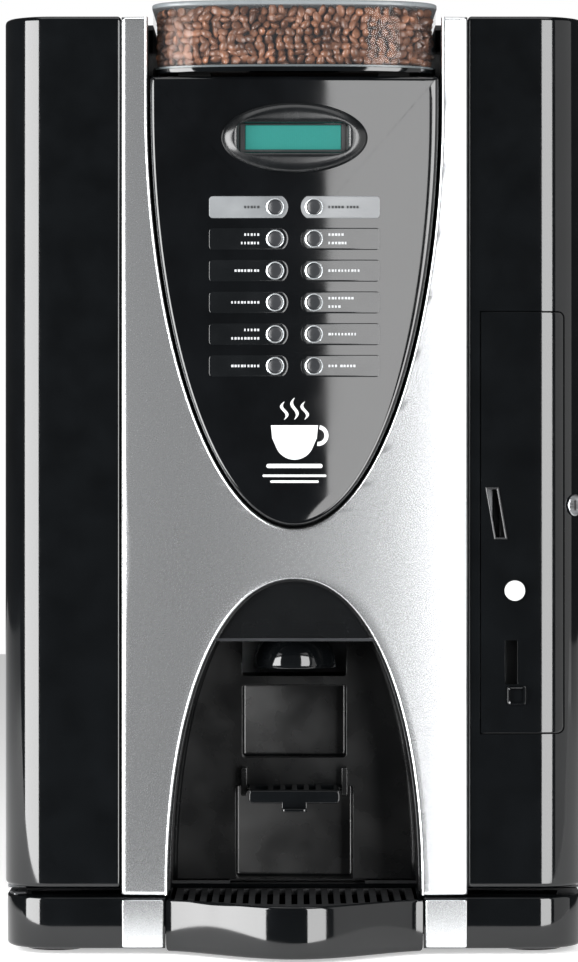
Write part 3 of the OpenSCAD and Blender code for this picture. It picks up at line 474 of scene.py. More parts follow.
def grid_plate(x0, z0, x1, z1, thick, rc, r=0.8, nx=26, nz=40):
    """A plate on a grid that follows the column's front: free corners rounded to rc, front edges to r."""
    xs = [x0 + (x1 - x0) * i / nx for i in range(nx + 1)]
    zs = [z0 + (z1 - z0) * i / nz for i in range(nz + 1)]
    corner = [rc * (1 - math.cos(math.radians(90 * i / 6))) for i in range(7)]
    zs = sorted(set([z0 + h for h in corner] + [z1 - h for h in corner]
                    + [z for z in zs if z0 + rc < z < z1 - rc]))

    def squeeze(x, z):
        cz = max(z0 + rc, min(z1 - rc, z))
        dz = abs(z - cz)
        cut = rc - math.sqrt(max(0.0, rc * rc - dz * dz))
        t = (x - x0) / (x1 - x0)
        return x0 + t * (x1 - x0 - cut)

    def side(off, rr):
        out = []
        for z in zs:
            for x in xs:
                xx = squeeze(x, z)
                dx = min(xx - squeeze(x0, z), squeeze(x1, z) - xx)
                dz = min(z - z0, z1 - z)
                d = max(0.0, min(dx, dz))
                roll = rr - math.sqrt(max(0.0, rr * rr - (rr - d) ** 2)) if d < rr else 0.0
                out.append((xx, corner_y(xx, off + roll), z))
        return out

    verts = side(0.0, r)
    n, m = len(xs), len(verts)
    verts += side(thick, 0.0)
    faces = []
    for j in range(len(zs) - 1):
        for i in range(n - 1):
            a = j * n + i
            faces.append((a, a + 1, a + n + 1, a + n))
            faces.append((m + a, m + a + n, m + a + n + 1, m + a + 1))
    rim = list(range(n)) + [j * n + n - 1 for j in range(1, len(zs))]
    rim += [(len(zs) - 1) * n + i for i in range(n - 2, -1, -1)] + [j * n for j in range(len(zs) - 2, 0, -1)]
    for k in range(len(rim)):
        a, b = rim[k], rim[(k + 1) % len(rim)]
        faces.append((a, m + a, m + b, b))
    return verts, faces


pay = piece("payment_door", *grid_plate(PAY_X0, PAY_Z0, PAY_X1, PAY_Z1, 3.0, PAY_R), GLOSS,
            "payment_door_body", slot="gloss_black")
# coin slot
slant = [(151.9, 366.8), (159.2, 366.8), (165.7, 328.8), (158.4, 328.8)]
carve(pay, [tool(slab_y(slant, -240, -222, 0.1)),
            tool(turned([(8.35, -240), (8.35, -222)], facing(REJ_X, REJ_Z))),
            tool(slab_y(rounded_rect(165.5, 213, 175.5, 248, 1.2), -240, -222, 0.1))])
bevel(pay, 0.45, 2)

# slanted bezel round the coin slot
rim_out = inset(slant, -1.6)
piece("coin_slot_bezel", *rings_y((
    (-231.8, rim_out), (-232.9, inset(slant, -1.3)), (-233.3, inset(slant, -0.7)), (-232.9, slant),
    (-229.4, slant), (-229.4, rim_out), (-231.8, rim_out)), caps=False), SATIN, "payment_door_body")
piece("coin_return_cup", *rings_y((
    (-231.9, rounded_rect(167, 197, 182, 212, 2)), (-234.6, rounded_rect(167.3, 197.3, 181.7, 211.7, 2)),
    (-235.6, rounded_rect(168, 198, 181, 211, 1.8)), (-235.2, rounded_rect(169, 199, 180, 210.2, 1.5)),
    (-232.3, rounded_rect(169.4, 199.4, 179.6, 209.8, 1.2)))), GLOSS, "payment_door_body")
piece("reject_button", *turned([(8.1, -226), (8.15, -233.6), (7.9, -234.9), (7.0, -235.5), (4, -235.6),
                                (0.6, -235.6)], facing(REJ_X, REJ_Z)),
      WHITE, "reject_button_body", slot="white_plastic")

# -------------------- silver fascia


def arch_loop(a, b, n=72):
    """The arch from right to left, with half width a and height b."""
    pts = [super_point(a, b, ARCH_N, math.pi * i / n) for i in range(n + 1)]
    return [(x, ARCH_Z + z) for x, z in pts]


def arch_half(z, grow):
    """Half the width of the arch opening at z."""
    t = (z - ARCH_Z) / (ARCH_B + grow)
    if t >= 1:
        return 0.0
    return (ARCH_A + grow) * (1 - max(0.0, t) ** ARCH_N) ** (1 / ARCH_N)


def pan_half(z, grow):
    """Half the width of the panel opening at z."""
    a, b = PAN_HW + 2 + grow, PAN_B + 2 + grow
    if z >= PAN_ZC:
        return a
    t = (PAN_ZC - z) / b
    return a * math.sqrt(max(0.0, 1 - t * t)) if t < 1 else 0.0


def fascia():
    """Silver skin between the columns, in rows of faces out from its openings, with rolled rims."""
    rim = 2.6
    rows = set()
    for i in range(61):
        a = math.radians(90 * i / 60)
        rows.add(round(ARCH_Z + (ARCH_B + rim) * math.sin(a) ** (2 / ARCH_N), 4))
        rows.add(round(PAN_ZC - (PAN_B + 2 + rim) * math.cos(a), 4))
    rows |= {FAS_Z0 + h for h in (0, 0.4, 1.2, 2.5)} | {FAS_Z1 - h for h in (0, 0.4, 1.4, 3.2)}
    rows |= {300.0, 310.0, 318.0, 325.0, 331.0} | {float(z) for z in range(680, 737, 8)}
    zs = sorted(z for z in rows if FAS_Z0 <= z <= FAS_Z1)
    zs = [z for i, z in enumerate(zs) if i == 0 or z - zs[i - 1] > 0.02]
    nu = 16
    verts, faces, index = [], [], {}

    def roll(d, r):
        return r - math.sqrt(max(0.0, r * r - (r - d) ** 2)) if d < r else 0.0

    def col(s, k, j, z, inner):
        u = 1 - (1 - j / nu) ** 1.7
        x = inner + (FAS_HW - inner) * u
        y = fas_front(x) + roll(FAS_HW - x, 3.0) + max(roll(FAS_Z1 - z, 2.5), roll(z - FAS_Z0, 2.5))
        key = (k, j, s if x > 1e-6 else 0)
        if key not in index:
            index[key] = len(verts)
            verts.append((s * x, y, z))
        return index[key]

    def inner_of(z):
        return max(arch_half(z, rim), pan_half(z, rim))

    for k in range(len(zs) - 1):
        a, b = inner_of(zs[k]), inner_of(zs[k + 1])
        for s in (-1, 1):
            for j in range(nu):
                q = [col(s, k, j, zs[k], a), col(s, k, j + 1, zs[k], a),
                     col(s, k + 1, j + 1, zs[k + 1], b), col(s, k + 1, j, zs[k + 1], b)]
                q = list(dict.fromkeys(q))
                if len(q) > 2:
                    faces.append(tuple(q))
    parts = [(verts, faces)]

    def rim_strip(curve, depth):
        """Rolled rim along an opening; curve(grow) gives (x, z) points."""
        rings = []
        for i in range(7):
            a = math.radians(90 * i / 6)
            g = rim * (1 - math.sin(a))
            d = rim * (1 - math.cos(a))
            rings.append([(x, fas_front(x) + d, z) for x, z in curve(g)])
        rings.append([(x, fas_front(x) + depth, z) for x, z in curve(0)])
        return loft(rings, closed=False, caps=False)

    def arch_curve(g):
        lo = [(ARCH_A + g, z) for z in (FAS_Z0, FAS_Z0 + 1.5)]
        return lo + arch_loop(ARCH_A + g, ARCH_B + g, 120) + [(-x, z) for x, z in reversed(lo)]

    def panel_curve(g):
        a, b = PAN_HW + 2 + g, PAN_B + 2 + g
        pts = [(a, z) for z in (FAS_Z1, 715.0, 692.0)]
        pts += [(a * math.cos(-math.pi * i / 140), PAN_ZC + b * math.sin(-math.pi * i / 140))
                for i in range(141)]
        return pts + [(-a, z) for z in (692.0, 715.0, FAS_Z1)]

    parts.append(rim_strip(arch_curve, 7.5))
    parts.append(rim_strip(panel_curve, 9.0))
    # outer side walls, top and foot
    for s in (-1, 1):
        pl = [(s * FAS_HW, fas_front(FAS_HW) + 3), (s * FAS_HW, -200)]
        parts.append(loft([[(x, y, z) for x, y in pl] for z in (50.5, 735.5)], closed=False, caps=False))
    for z, x0 in ((FAS_Z1, PAN_HW + 4.5), (FAS_Z0, ARCH_A + 2.5)):
        for s in (-1, 1):
            xs = [x0 + (FAS_HW - x0) * i / 6 for i in range(7)]
            parts.append(loft([[(s * x, y0 if y0 else fas_front(x) + 2.5 + (3 if x > FAS_HW - 0.1 else 0), z)
                                for x in xs] for y0 in (None, -180.0)], closed=False, caps=False))
    return join_parts(parts)


piece("silver_fascia", *fascia(), SILVER, "door", slot="silver_paint", angle=50)

# -------------------- control panel


def disc_plate(loop, centre, front, thick, roll_r, rings=16):
    """A convex plate built of rings that shrink towards its centre; front(x, z) is its surface."""
    loops = [[(x, front(x, z) + thick, z) for x, z in inset(loop, 0.6)]]
    for i in range(7):
        a = math.radians(90 * i / 6)
        d, h = roll_r * (1 - math.cos(a)), roll_r * (1 - math.sin(a))
        lp = inset(loop, d) if d > 0 else loop
        loops.append([(x, front(x, z) + h, z) for x, z in lp])
    last = inset(loop, roll_r)
    for k in range(1, rings):
        s = 1 - k / rings
        lp = [(centre[0] + (x - centre[0]) * s, centre[1] + (z - centre[1]) * s) for x, z in last]
        loops.append([(x, front(x, z), z) for x, z in lp])
    n = len(loop)
    verts, faces = loft(loops, caps=False)
    c = len(verts)
    verts.append((centre[0], front(*centre), centre[1]))
    base = (len(loops) - 1) * n
    for i in range(n):
        faces.append((base + i, base + (i + 1) % n, c))
    faces.append(tuple(range(n - 1, -1, -1)))
    return verts, faces


pan_loop = ([(PAN_HW, PAN_ZC), (PAN_HW, PAN_Z1 - 2)] + [(PAN_HW - 2, PAN_Z1)]
            + [(x, PAN_Z1) for x in range(96, -97, -12)] + [(-PAN_HW + 2, PAN_Z1), (-PAN_HW, PAN_Z1 - 2)]
            + [(PAN_HW * math.cos(math.pi + math.pi * i / 120),
                PAN_ZC + PAN_B * math.sin(math.pi + math.pi * i / 120)) for i in range(120)])


def panel_surface(x, z):
    """Convex across, and falling away a little towards the tip."""
    fall_from, fall_over, fall = 470, 134, 1.8
    t = max(0.0, (fall_from - z) / fall_over)
    return pan_front(x) + fall * t * t


def key_cutters(r):
    """Cutters of radius r at the twelve selection buttons."""
    return [tool(turned([(r, -270), (r, -225)], facing(s * BTN_X, BTN_Z - PITCH * i), 32))
            for i in range(6) for s in (-1, 1)]


pan = piece("control_panel", *disc_plate(pan_loop, (0.0, 560.0), panel_surface, 5.4, 4.0, rings=22), PANEL,
            "door", slot="gloss_black", angle=60)
display_hole = tool(slab_y(rounded_rect(-43, LCD_Z - 11.1, 41, LCD_Z + 11.0, 1.5), -270, -200, 0.1))
carve(pan, [display_hole] + key_cutters(BTN_HOLE), angle=45)

# display hood: an oval dome round a recessed window; half width, half height, power and depth of each ring
hood_rings = []
for a, b, power, y in ((57.5, 28, 2, 0.6), (57.3, 27.8, 2, -0.8), (56.2, 26.9, 2, -2.6), (54, 25.2, 2, -4.4),
                       (51, 22.6, 2.1, -5.8), (48.6, 19.6, 2.4, -6.6), (46.2, 16.4, 3.2, -6.8),
                       (44.4, 13.6, 5, -6.3), (43.2, 12.0, 9, -5.2), (42.6, 11.4, 14, -3.4),
                       (42.2, 11.1, 18, 1.5)):
    xc = -1.0 if power > 3 else 0.0
    ring = [super_point(a, b, power, 2 * math.pi * i / 128) for i in range(128)]
    hood_rings.append([(xc + x, pan_front(xc + x) + y, LCD_Z + z) for x, z in ring])
hood = piece("lcd_bezel", *loft(hood_rings, caps=False), HOOD, "door", slot="gloss_black", angle=70)
piece("lcd_screen", *slab_y(rounded_rect(-38.5, 633.2, 36.5, 652.2, 0.6), PAN_Y + 1.6, PAN_Y + 4, 0.3),
      SCREEN, "door", slot="screen")
frame_out = rounded_rect(-42.4, 631.4, 40.4, 653.1, 1)
frame_in = rounded_rect(-38.9, 632.9, 36.8, 652.5, 0.6)
piece("lcd_frame", *rings_y(((PAN_Y + 0.4, frame_out), (PAN_Y + 0.4, frame_in), (PAN_Y + 4.2, frame_in),
                             (PAN_Y + 4.2, frame_out)), caps=False), SATIN, "door")


# -------------------- label plates, rings and keys


def plate_loop(s):
    """A plate's outline about its button row, notched round the button; s is its side."""
    length, half, corner, notch = 67, 8.6, 3, 10.3
    a0 = math.degrees(math.asin(half / notch))
    pts = [(BTN_X + x, z) for x, z in arc(0, 0, notch, 180 - a0, 180 + a0, 10)]
    pts += arc(length - corner, -half + corner, corner, 270, 360, 5)
    pts += arc(length - corner, half - corner, corner, 0, 90, 5)
    return [(s * x, z) for x, z in pts]


# blocks in each row of marks, by side and plate; SPACE is a gap inside a row
SPACE = -1
ROWS = {-1: ([[5]], [[5], [6]], [[8]], [[9]], [[5], [9]], [[9]]),
        1: ([[5, SPACE, 4]], [[5], [6]], [[10]], [[8], [4]], [[9]], [[3, SPACE, 5]])}
STEP, GAP, MARK_H, MARK_X, LINE = 2.55, 1.6, 0.95, 26.6, 3.3
rng = random.Random(7)


def mark_row(row, s, z):
    """One row of small plain blocks that starts or ends beside its button."""
    out = []
    blocks = []
    for w in row:
        blocks += [False] if w == SPACE else [True] * w
    width = sum(STEP if b else GAP for b in blocks)
    x = MARK_X if s > 0 else -MARK_X - width
    for b in blocks:
        if b:
            w = 1.1 + rng.random() * 0.9
            q = [(x, z - MARK_H), (x + w, z - MARK_H), (x + w, z + MARK_H), (x, z + MARK_H)]
            out.append(loft([[(px, pan_front(px) + y, pz) for px, pz in q] for y in (-0.7, -0.86)]))
        x += STEP if b else GAP
    return out


PLATE_EDGE = ((0.35, 0.0), (-0.35, 0.0), (-0.6, 0.15), (-0.75, 0.5), (-0.75, 1.3))
KEY_RING = [(5.95, 0.5), (5.9, -1.5), (6.1, -1.9), (6.5, -2.0), (6.9, -1.8), (7.15, -1.3), (7.25, 0.4),
            (5.95, 0.5)]
KEY_CAP = [(5.65, 9.5), (5.65, -0.9), (5.45, -1.3), (4.9, -1.5), (3.6, -1.2), (2.0, -1.0), (0.4, -0.95)]
plates = {}
marks, darks, key_rings = [], [], []
for s in (-1, 1):
    for i in range(6):
        zc = BTN_Z - PITCH * i
        lp = [(x, zc + z) for x, z in plate_loop(s)]
        plates[s, i] = loft([[(x, pan_front(x) + h, z) for x, z in inset(lp, d)] for h, d in PLATE_EDGE])
        rows = ROWS[s][i]
        for k, row in enumerate(rows):
            z = zc + (0 if len(rows) == 1 else LINE * (1 - 2 * k))
            (darks if i == 0 else marks).extend(mark_row(row, s, z))
        key_rings.append(walls_only(turned(KEY_RING, facing(s * BTN_X, zc, pan_front(s * BTN_X)), 48)))


def plate_piece(name, keys, mat):
    """Some of the plates as one piece, open at the buttons."""
    ob = piece(name, *join_parts([plates[k] for k in keys]), mat, "door", slot="gloss_black", weld=False)
    carve(ob, key_cutters(6.0))
    return ob


dark_plates = plate_piece("label_plates", [k for k in plates if k[1] > 0], PLATE_DARK)
grey_plate = plate_piece("label_plate_top_left", [(-1, 0)], PLATE_GREY)
light_plate = plate_piece("label_plate_top_right", [(1, 0)], PLATE_LIGHT)
piece("button_rings", *join_parts(key_rings), RING, "door", weld=False)
piece("label_marks", *join_parts(marks), MARK, "door", weld=False)
piece("label_marks_dark", *join_parts(darks), MARK_DARK, "door", weld=False)
for k in range(12):
    cx = BTN_X if k >= 6 else -BTN_X
    name = f"button_{k + 1:02d}"
    place = facing(cx, BTN_Z - PITCH * (k % 6), pan_front(cx))
    piece(name, *turned(KEY_CAP, place, 40), KEYCAP, name + "_body", slot="satin_black")


def emblem():
    """A plain steaming cup over bars, printed on the panel."""
    parts = []

    def flat(lp):
        parts.append(loft([[(x, panel_surface(x, z) + h, z) for x, z in lp] for h in (0.05, -0.25)]))

    zc = 404.0
    flat([(-18.5, zc + 13), (-17.5, zc + 3)] + arc(0, zc + 1.5, 15.5, 200, 340, 16)
         + [(17.5, zc + 3), (18.5, zc + 13)])
    # handle
    flat(arc(18.5, zc + 5, 8.2, 80, -95, 14) + arc(18.5, zc + 5, 5.0, -95, 80, 14))
    flat(rounded_rect(-22, zc - 20.5, 22, zc - 17.2, 1.6))
    # steam
    for dx, taller in ((-8, 0), (0, 3), (8, 0)):
        mid = [(dx + 2.2 * math.sin(math.pi * k / 6), zc + 17.5 + (14 + taller) * k / 12) for k in range(13)]
        half = [1.5 * math.sin(math.pi * (k + 0.7) / 13.4) for k in range(13)]
        right = [(x + w, z) for (x, z), w in zip(mid, half)]
        flat(right + [(x - w, z) for (x, z), w in reversed(list(zip(mid, half)))])
    # bars
    for k, w in enumerate((25, 19)):
        flat(rounded_rect(-w, zc - 27.5 - 4.6 * k, w, zc - 25.6 - 4.6 * k, 0.9))
    return join_parts(parts)


piece("emblem", *emblem(), EMBLEM, "door", weld=False)

# -------------------- bean hopper


def hopper_loop(d, n=72):
    """Plan of the hopper moved in by d: a bowed front, straight sides and rear."""
    a, b = HOP_HW - d, HOP_YC - HOP_Y - d
    bow = [super_point(a, -b, BOW_POWER, math.pi * i / n) for i in range(n + 1)]
    r = HOP_REAR - d
    mid = (HOP_YC + r) / 2
    return ([(a, r - 1.0), (a, mid)] + [(x, HOP_YC + y) for x, y in bow]
            + [(-a, mid), (-a, r - 1.0), (-a + 1, r), (a - 1, r)])


def shell_z(levels):
    """A thin-walled vessel: (z, inset) outside going up, then inside going down."""
    return rings_z([(z, hopper_loop(d)) for z, d in levels], caps=False)


funnel = turned([(24, 652.3), (24, 664), (41.8, 694.3), (36, 697), (17, 664), (17, 652.3), (24, 652.3)],
                upright(0, GRINDER_Y), 56)
piece("hopper", *shell_z([(699.8, 0.3), (700.2, 0.0), (744.6, 0.0), (745.6, 0.4), (746.0, 1.2), (745.9, 2.4),
                          (744.5, 3.0), (699.8, 3.0), (699.8, 0.3)]), CLEAR, "cabinet", slot="clear")
piece("hopper_ledge", *join_parts([
    shell_z([(694.2, 1.5), (694.2, 0.4), (694.8, 0.0), (697.6, 0.0), (697.6, 3.0), (697.2, 3.2),
             (697.2, 45.0)]),
    walls_only(funnel)]), GLOSS, "cabinet", angle=40)
piece("hopper_lip", *shell_z([(697.7, 2.5), (697.7, 0.3), (698.2, 0.0), (699.2, 0.0), (699.6, 0.5),
                              (699.6, 3.0), (697.7, 2.5)]), LEDGE, "cabinet", angle=40)


def bean(cx, cy, cz, rot, size):
    """One bean: a domed back and a flatter, creased face."""
    verts, faces = [], []
    nu, nv = 10, 7
    width, height, flat, crease = 0.68, 0.62, 0.5, 0.16
    for j in range(nv):
        th = math.pi * (j + 0.5) / nv if 0 < j < nv - 1 else (0.06 if j == 0 else math.pi - 0.06)
        for i in range(nu):
            ph = 2 * math.pi * i / nu
            x = size * math.cos(th)
            y = size * width * math.sin(th) * math.cos(ph)
            z = size * height * math.sin(th) * math.sin(ph)
            if z < 0:
                z *= flat
                if abs(y) < size * crease:
                    z *= 0.25
            verts.append(Vector((x, y, z)))
    for j in range(nv - 1):
        for i in range(nu):
            k = (i + 1) % nu
            faces.append((j * nu + i, j * nu + k, (j + 1) * nu + k, (j + 1) * nu + i))
    faces.append(tuple(range(nu - 1, -1, -1)))
    faces.append(tuple(range((nv - 1) * nu, nv * nu)))
    out = [rot @ v + Vector((cx, cy, cz)) for v in verts]
    return [(v.x, v.y, v.z) for v in out], faces


def scatter_beans():
    """Two layers of rows behind the clear wall, and a loose layer on top."""
    rr = random.Random(11)
    parts = []
    loop = hopper_loop(6.4, 96)
    # path along the clear front and its sides
    path = [p for p in loop if p[1] < -110]
    lens = [0.0]
    for a, b in zip(path, path[1:]):
        lens.append(lens[-1] + math.hypot(b[0] - a[0], b[1] - a[1]))
    total = lens[-1]

    def at(s):
        for k in range(1, len(lens)):
            if lens[k] >= s:
                t = (s - lens[k - 1]) / max(1e-6, lens[k] - lens[k - 1])
                return (path[k - 1][0] * (1 - t) + path[k][0] * t, path[k - 1][1] * (1 - t) + path[k][1] * t)
        return path[-1]

    def add(x, y, z, size):
        rot = (Matrix.Rotation(rr.uniform(0, 6.28), 3, "Z") @ Matrix.Rotation(rr.uniform(0, 6.28), 3, "X")
               @ Matrix.Rotation(rr.uniform(0, 6.28), 3, "Y"))
        parts.append(bean(x, y, z, rot, size))

    rows, lowest, rise, top = 8, 703.4, 5.5, 739.0
    for layer in range(2):
        for j in range(rows):
            z = lowest + j * rise
            s = 1 + (j % 2) * 3.6
            while s < total - 2:
                x, y = at(s)
                k = 1 - (layer * 5.0 + rr.uniform(0.0, 1.6)) / 110
                add(x * k, -120 + (y + 120) * k, z + rr.uniform(-1.0, 0.8), rr.uniform(4.9, 5.8))
                s += rr.uniform(6.8, 8.2)
    for _ in range(330):
        x = rr.uniform(-98, 98)
        y = rr.uniform(-238, -70)
        lim = (HOP_YC - HOP_Y) * (1 - min(1, abs(x) / 101) ** BOW_POWER) ** (1 / BOW_POWER) - 6
        if y < HOP_YC - max(0, lim):
            continue
        add(x, y, top + rr.uniform(-1.5, 1.5), rr.uniform(4.6, 5.5))
    return join_parts(parts)


# bumpy bed for the beans deeper in the hopper, coloured darker than the front beans as painted shade between
# them
piece("bean_bed", *rings_z([(z, hopper_loop(d)) for z, d in
                            ((697.6, 12.0), (698.0, 11.6), (736.5, 11.6), (737.5, 13.0))]), SHADED_BEAN_BED, "cabinet")
piece("coffee_beans", *scatter_beans(), BEAN, "cabinet", slot="beans", angle=60, weld=False)
lid_loop = hopper_loop(-0.8)
piece("hopper_lid", *rings_z([(z, inset(lid_loop, d)) for z, d in
                              ((746.3, 0.6), (746.5, 0.15), (747.0, 0.0), (749.0, 0.0), (749.6, 0.4),
                               (749.9, 1.1), (750.0, 2.2))]),
      LID, "hopper_lid_body", slot="frosted", angle=50)

# -------------------- drip tray


def tray_front(x, d):
    """The tray's bowed front at x, moved in by d."""
    u = min(1.0, abs(x) / (TRAY_HW - d))
    c = max(0.0, math.cos(math.pi / 2 * u))
    return COL_Y + d * (1 - c ** 0.5) - (BOW - d) * c ** 1.45


def tray_loop(d, yb, n=88):
    """Plan of the tray moved in by d, back to yb."""
    a = TRAY_HW - d
    pts = [(a, yb)]
    for i in range(n + 1):
        u = math.cos(math.pi * i / n)
        u = 0.45 * u + 0.55 * (1 - 2 * i / n)
        pts.append((a * u, tray_front(a * u, d)))
    return pts + [(-a, yb)]


# (z, inset): up the outside, over the rim and down inside
tray_levels = [(3.0, 3.0), (3.2, 2.0), (4.2, 0.9), (6.0, 0.2), (8.5, 0.0), (41.4, 0.0), (43.0, 0.45),
               (43.8, 1.3), (44.0, 2.2), (43.9, 3.0), (43.4, 3.5), (39.0, 3.5), (39.0, 6.5), (11.0, 6.5),
               (11.0, 9.0)]
piece("drip_tray", *rings_z([(z, tray_loop(d, -149 - (0 if d < 3.6 else d - 3.5))) for z, d in tray_levels]),
      GLOSS, "tray", slot="gloss_black", angle=40)
piece("tray_float", *turned([(10.9, 12), (11, 12.6), (11, 31.5), (10.3, 32.7), (4, 33), (0.5, 33)],
                            lambda a, b, h: (a, -255 + b * 0.62, h)), RED, "tray")

# -------------------- base


def base_plan(d, yb=268.0):
    """Plan of the base moved in by d, with the bay for the tray at its front."""
    hw = 228.5 - d
    r = 38.0 - d
    pts = [(hw, yb)] + [(hw, y) for y in (150, 0, -100, -170)]
    pts += [(x, y) for x, y in arc(hw - r, -230.5 + d + r, r, 0, -90, 20)]
    pts += [(x, -230.5 + d) for x in (170, 145, 120, 101.7)]
    pts += [(101.7, -140.0)]
    return pts + [(-x, y) for x, y in reversed(pts)]


piece("base_plinth", *rings_z([(z, base_plan(d)) for z, d in
                               ((5.0, 2.2), (5.5, 1.2), (6.6, 0.3), (8.0, 0.0), (43.4, 0.0), (44.6, 0.35),
                                (45.3, 1.1), (45.5, 2.2))]), GLOSS, "cabinet", slot="gloss_black", angle=40)
insert_parts = []
for s in (-1, 1):
    lp = [(s * x, z) for x, z in rounded_rect(103.3, 6.0, 135.7, 43.6, 1.5)]
    insert_parts.append(rings_y([(y, inset(lp, d)) for y, d in
                                 ((-228.2, 0), (-230.6, 0), (-231.4, 0.25), (-231.8, 0.8), (-231.8, 1.2))]))
piece("base_trims", *join_parts(insert_parts), SILVER, "cabinet", slot="silver_paint")
foot = [(23.5, 0), (24.6, 0.4), (25, 1.2), (25, 4.2), (24.4, 5.0)]
feet = [turned(foot, upright(x, y), 48) for x in (-190, 190) for y in (-178, 215)]
piece("feet", *join_parts(feet), RUBBER, "cabinet", slot="foot_rubber")

# -------------------- cup niche


def arch_strip(levels, grow=0.0):
    """An open arched wall, from (y, inset) pairs."""
    return loft([[(x, y, z) for x, z in arch_loop(IN_A + grow - d, IN_B + grow - d)] for y, d in levels],
                closed=False, caps=False)


wall = arch_strip(((-233.0, 0.0), (-200.0, 0.0), (-170.0, 0.0), (-155.5, 0.0), (-153.0, 0.6), (-151.6, 1.8),
                   (NICHE_BACK, 3.6)))
wall_out = arch_strip(((-233.0, 0.0), (-148.0, 0.0)), grow=2.3)
back = arch_loop(IN_A - 3.6, IN_B - 3.6)
nb = len(back)
back_plate = ([(x, NICHE_BACK, z) for x, z in back] + [(x, -148.0, z) for x, z in back],
              [tuple(range(nb)), tuple(range(2 * nb - 1, nb - 1, -1))]
              + [(i, nb + i, nb + (i + 1) % nb, (i + 1) % nb) for i in range(nb)])
backer = piece("niche_liner", *back_plate, LINER, "door", slot="gloss_black")
carve(backer, [tool(slab_y(rounded_rect(*box, r), -170, -130, 0.1)) for box, r in
               (((-47.4, 30, 47.4, 126), 3.0), ((-42, 149, 42, 208), 3.0), ((-42, 215, 42, 258), 2.0))])
bevel(backer, 1.0, 3)
walls = piece("niche_wall", *join_parts([wall, wall_out]), LINER, "door", angle=50)
m = walls.modifiers.new("thick", "SOLIDIFY")
m.thickness = 0.6 * MM
m.offset = 0.0


def pocket_piece(name, x0, z0, x1, z1, yb):
    """Walls and back of a pocket in the niche's back wall."""
    lp = rounded_rect(x0, z0, x1, z1, 3.0)
    v, f = rings_y([(y, inset(lp, d)) for y, d in
                    ((-150.4, 0.0), (yb - 3, 0.0), (yb - 1.2, 0.4), (yb - 0.3, 1.2), (yb, 2.4))], caps=False)
    f.append(tuple(range(len(v) - len(lp), len(v))))
    piece(name, v, f, LINER, "door", angle=40)


pocket_piece("niche_pocket", -47.4, 51, 47.4, 126, -125.3)
pocket_piece("niche_recess", -42, 149, 42, 208, -130.3)
piece("shelf_lugs", *join_parts([slab_y(rounded_rect(x, 119, x + 5, 142, 1.6), -162.0, -150.6, 0.8)
                                 for x in (-43, 38)]), LINER, "door")
flange_out, flange_in = arch_loop(ARCH_A + 8.8, ARCH_B + 8.8), arch_loop(IN_A, IN_B)
piece("niche_flange", *loft([[(x, y, z) for x, z in lp] for y, lp in (
    (-230.2, flange_out), (-232.8, flange_out), (-232.8, flange_in), (-230.2, flange_in),
    (-230.2, flange_out))], closed=False, caps=False), LINER, "door")


def visor():
    """Smoked plate that fills the top of the arch."""
    top = [(x, z) for x, z in arch_loop(IN_A - 0.4, IN_B - 0.4, 200) if z > 250.4]
    xe = top[0][0]
    lp = top + [(-xe + 1.0, 248.4)] + [(x, 248.2) for x in range(-60, 61, 12)] + [(xe - 1.0, 248.4)]
    return slab_y(lp, -232.5, -229.6, 0.5)


piece("niche_visor", *visor(), SMOKE, "door", slot="smoked")
piece("visor_edge", *slab_y(rounded_rect(-66, 247.2, 66, 249.6, 1.1), -233.6, -229.4, 0.5), KEYCAP, "door")

# -------------------- dispensing head

shroud = [(30.4, 223.8), (32.2, 223.9), (33.0, 224.8), (33.0, 229.0), (32.2, 234.0), (29.8, 240.5),
          (27.2, 244.5), (24.0, 247.6), (20.5, 249.4), (16, 250), (0.6, 250)]
shroud_inside = [(30.4, 223.8), (29.6, 225), (26.5, 236), (24.6, 240.6), (0.6, 240.8)]
head_parts = [walls_only(turned(profile, upright(0, HEAD_Y), 64)) for profile in (shroud, shroud_inside)]
nozzle = [(2.0, 240), (2.0, 224.4), (2.6, 224.0), (3.3, 224.4), (3.5, 225.2), (3.5, 240.8)]
for x, y in ((-10, HEAD_Y - 6), (10, HEAD_Y - 6), (0, HEAD_Y + 10)):
    head_parts.append(turned(nozzle, upright(x, y), 20))
piece("dispensing_head", *join_parts(head_parts), GLOSS, "cabinet", slot="gloss_black", angle=45, weld=False)
piece("dispensing_arm", *join_parts([
    slab_z(rounded_rect(-20, -160, 20, -84.2, 2), 232, 248, 1.2),
    slab_z(rounded_rect(-20, -84, 20, -60, 2), 232, 330, 1.2)]), SATIN, "cabinet")

# -------------------- folding cup shelf

SHELF_HW, SHELF_Z0, SHELF_Z1, RIB_PITCH = 36, 120.2, 128, 9.5
shelf_parts = []
for y0, y1 in ((-213, -206), (-161.5, -154.6)):
    shelf_parts.append(slab_z(rounded_rect(-SHELF_HW, y0, SHELF_HW, y1, 1.5), SHELF_Z0, SHELF_Z1, 0.8))
for s in (-1, 1):
    x0, x1 = sorted((s * SHELF_HW, s * 31.2))
    shelf_parts.append(slab_z(rounded_rect(x0, -211, x1, -156, 1.5), SHELF_Z0, SHELF_Z1, 0.8))
for k in range(-2, 3):
    x = k * RIB_PITCH
    shelf_parts.append(slab_z(rounded_rect(x - 2.2, -207.5, x + 2.2, -160, 1.0), 121.5, SHELF_Z1, 0.7))
# front band, finger tab and hinge rod
shelf_parts.append(slab_y(rounded_rect(-SHELF_HW, 118, SHELF_HW, SHELF_Z1, 3.2), -216.0, -212.6, 1.1))
shelf_parts.append(slab_y(rounded_rect(-10, 112, 10, 119.5, 1.6), -216.0, -213.2, 0.8))
shelf_parts.append(slab_z(rounded_rect(-10, -226, 10, -213.4, 3.0), 112.0, 114.6, 0.8))
shelf_parts.append(turned([(2.5, -42), (2.5, 42)], lambda a, b, h: (h, -155.5 + a, 125 + b), 24))
piece("cup_shelf", *join_parts(shelf_parts), GLOSS, "shelf", slot="gloss_black", weld=False)

# -------------------- nodes that keep their shape

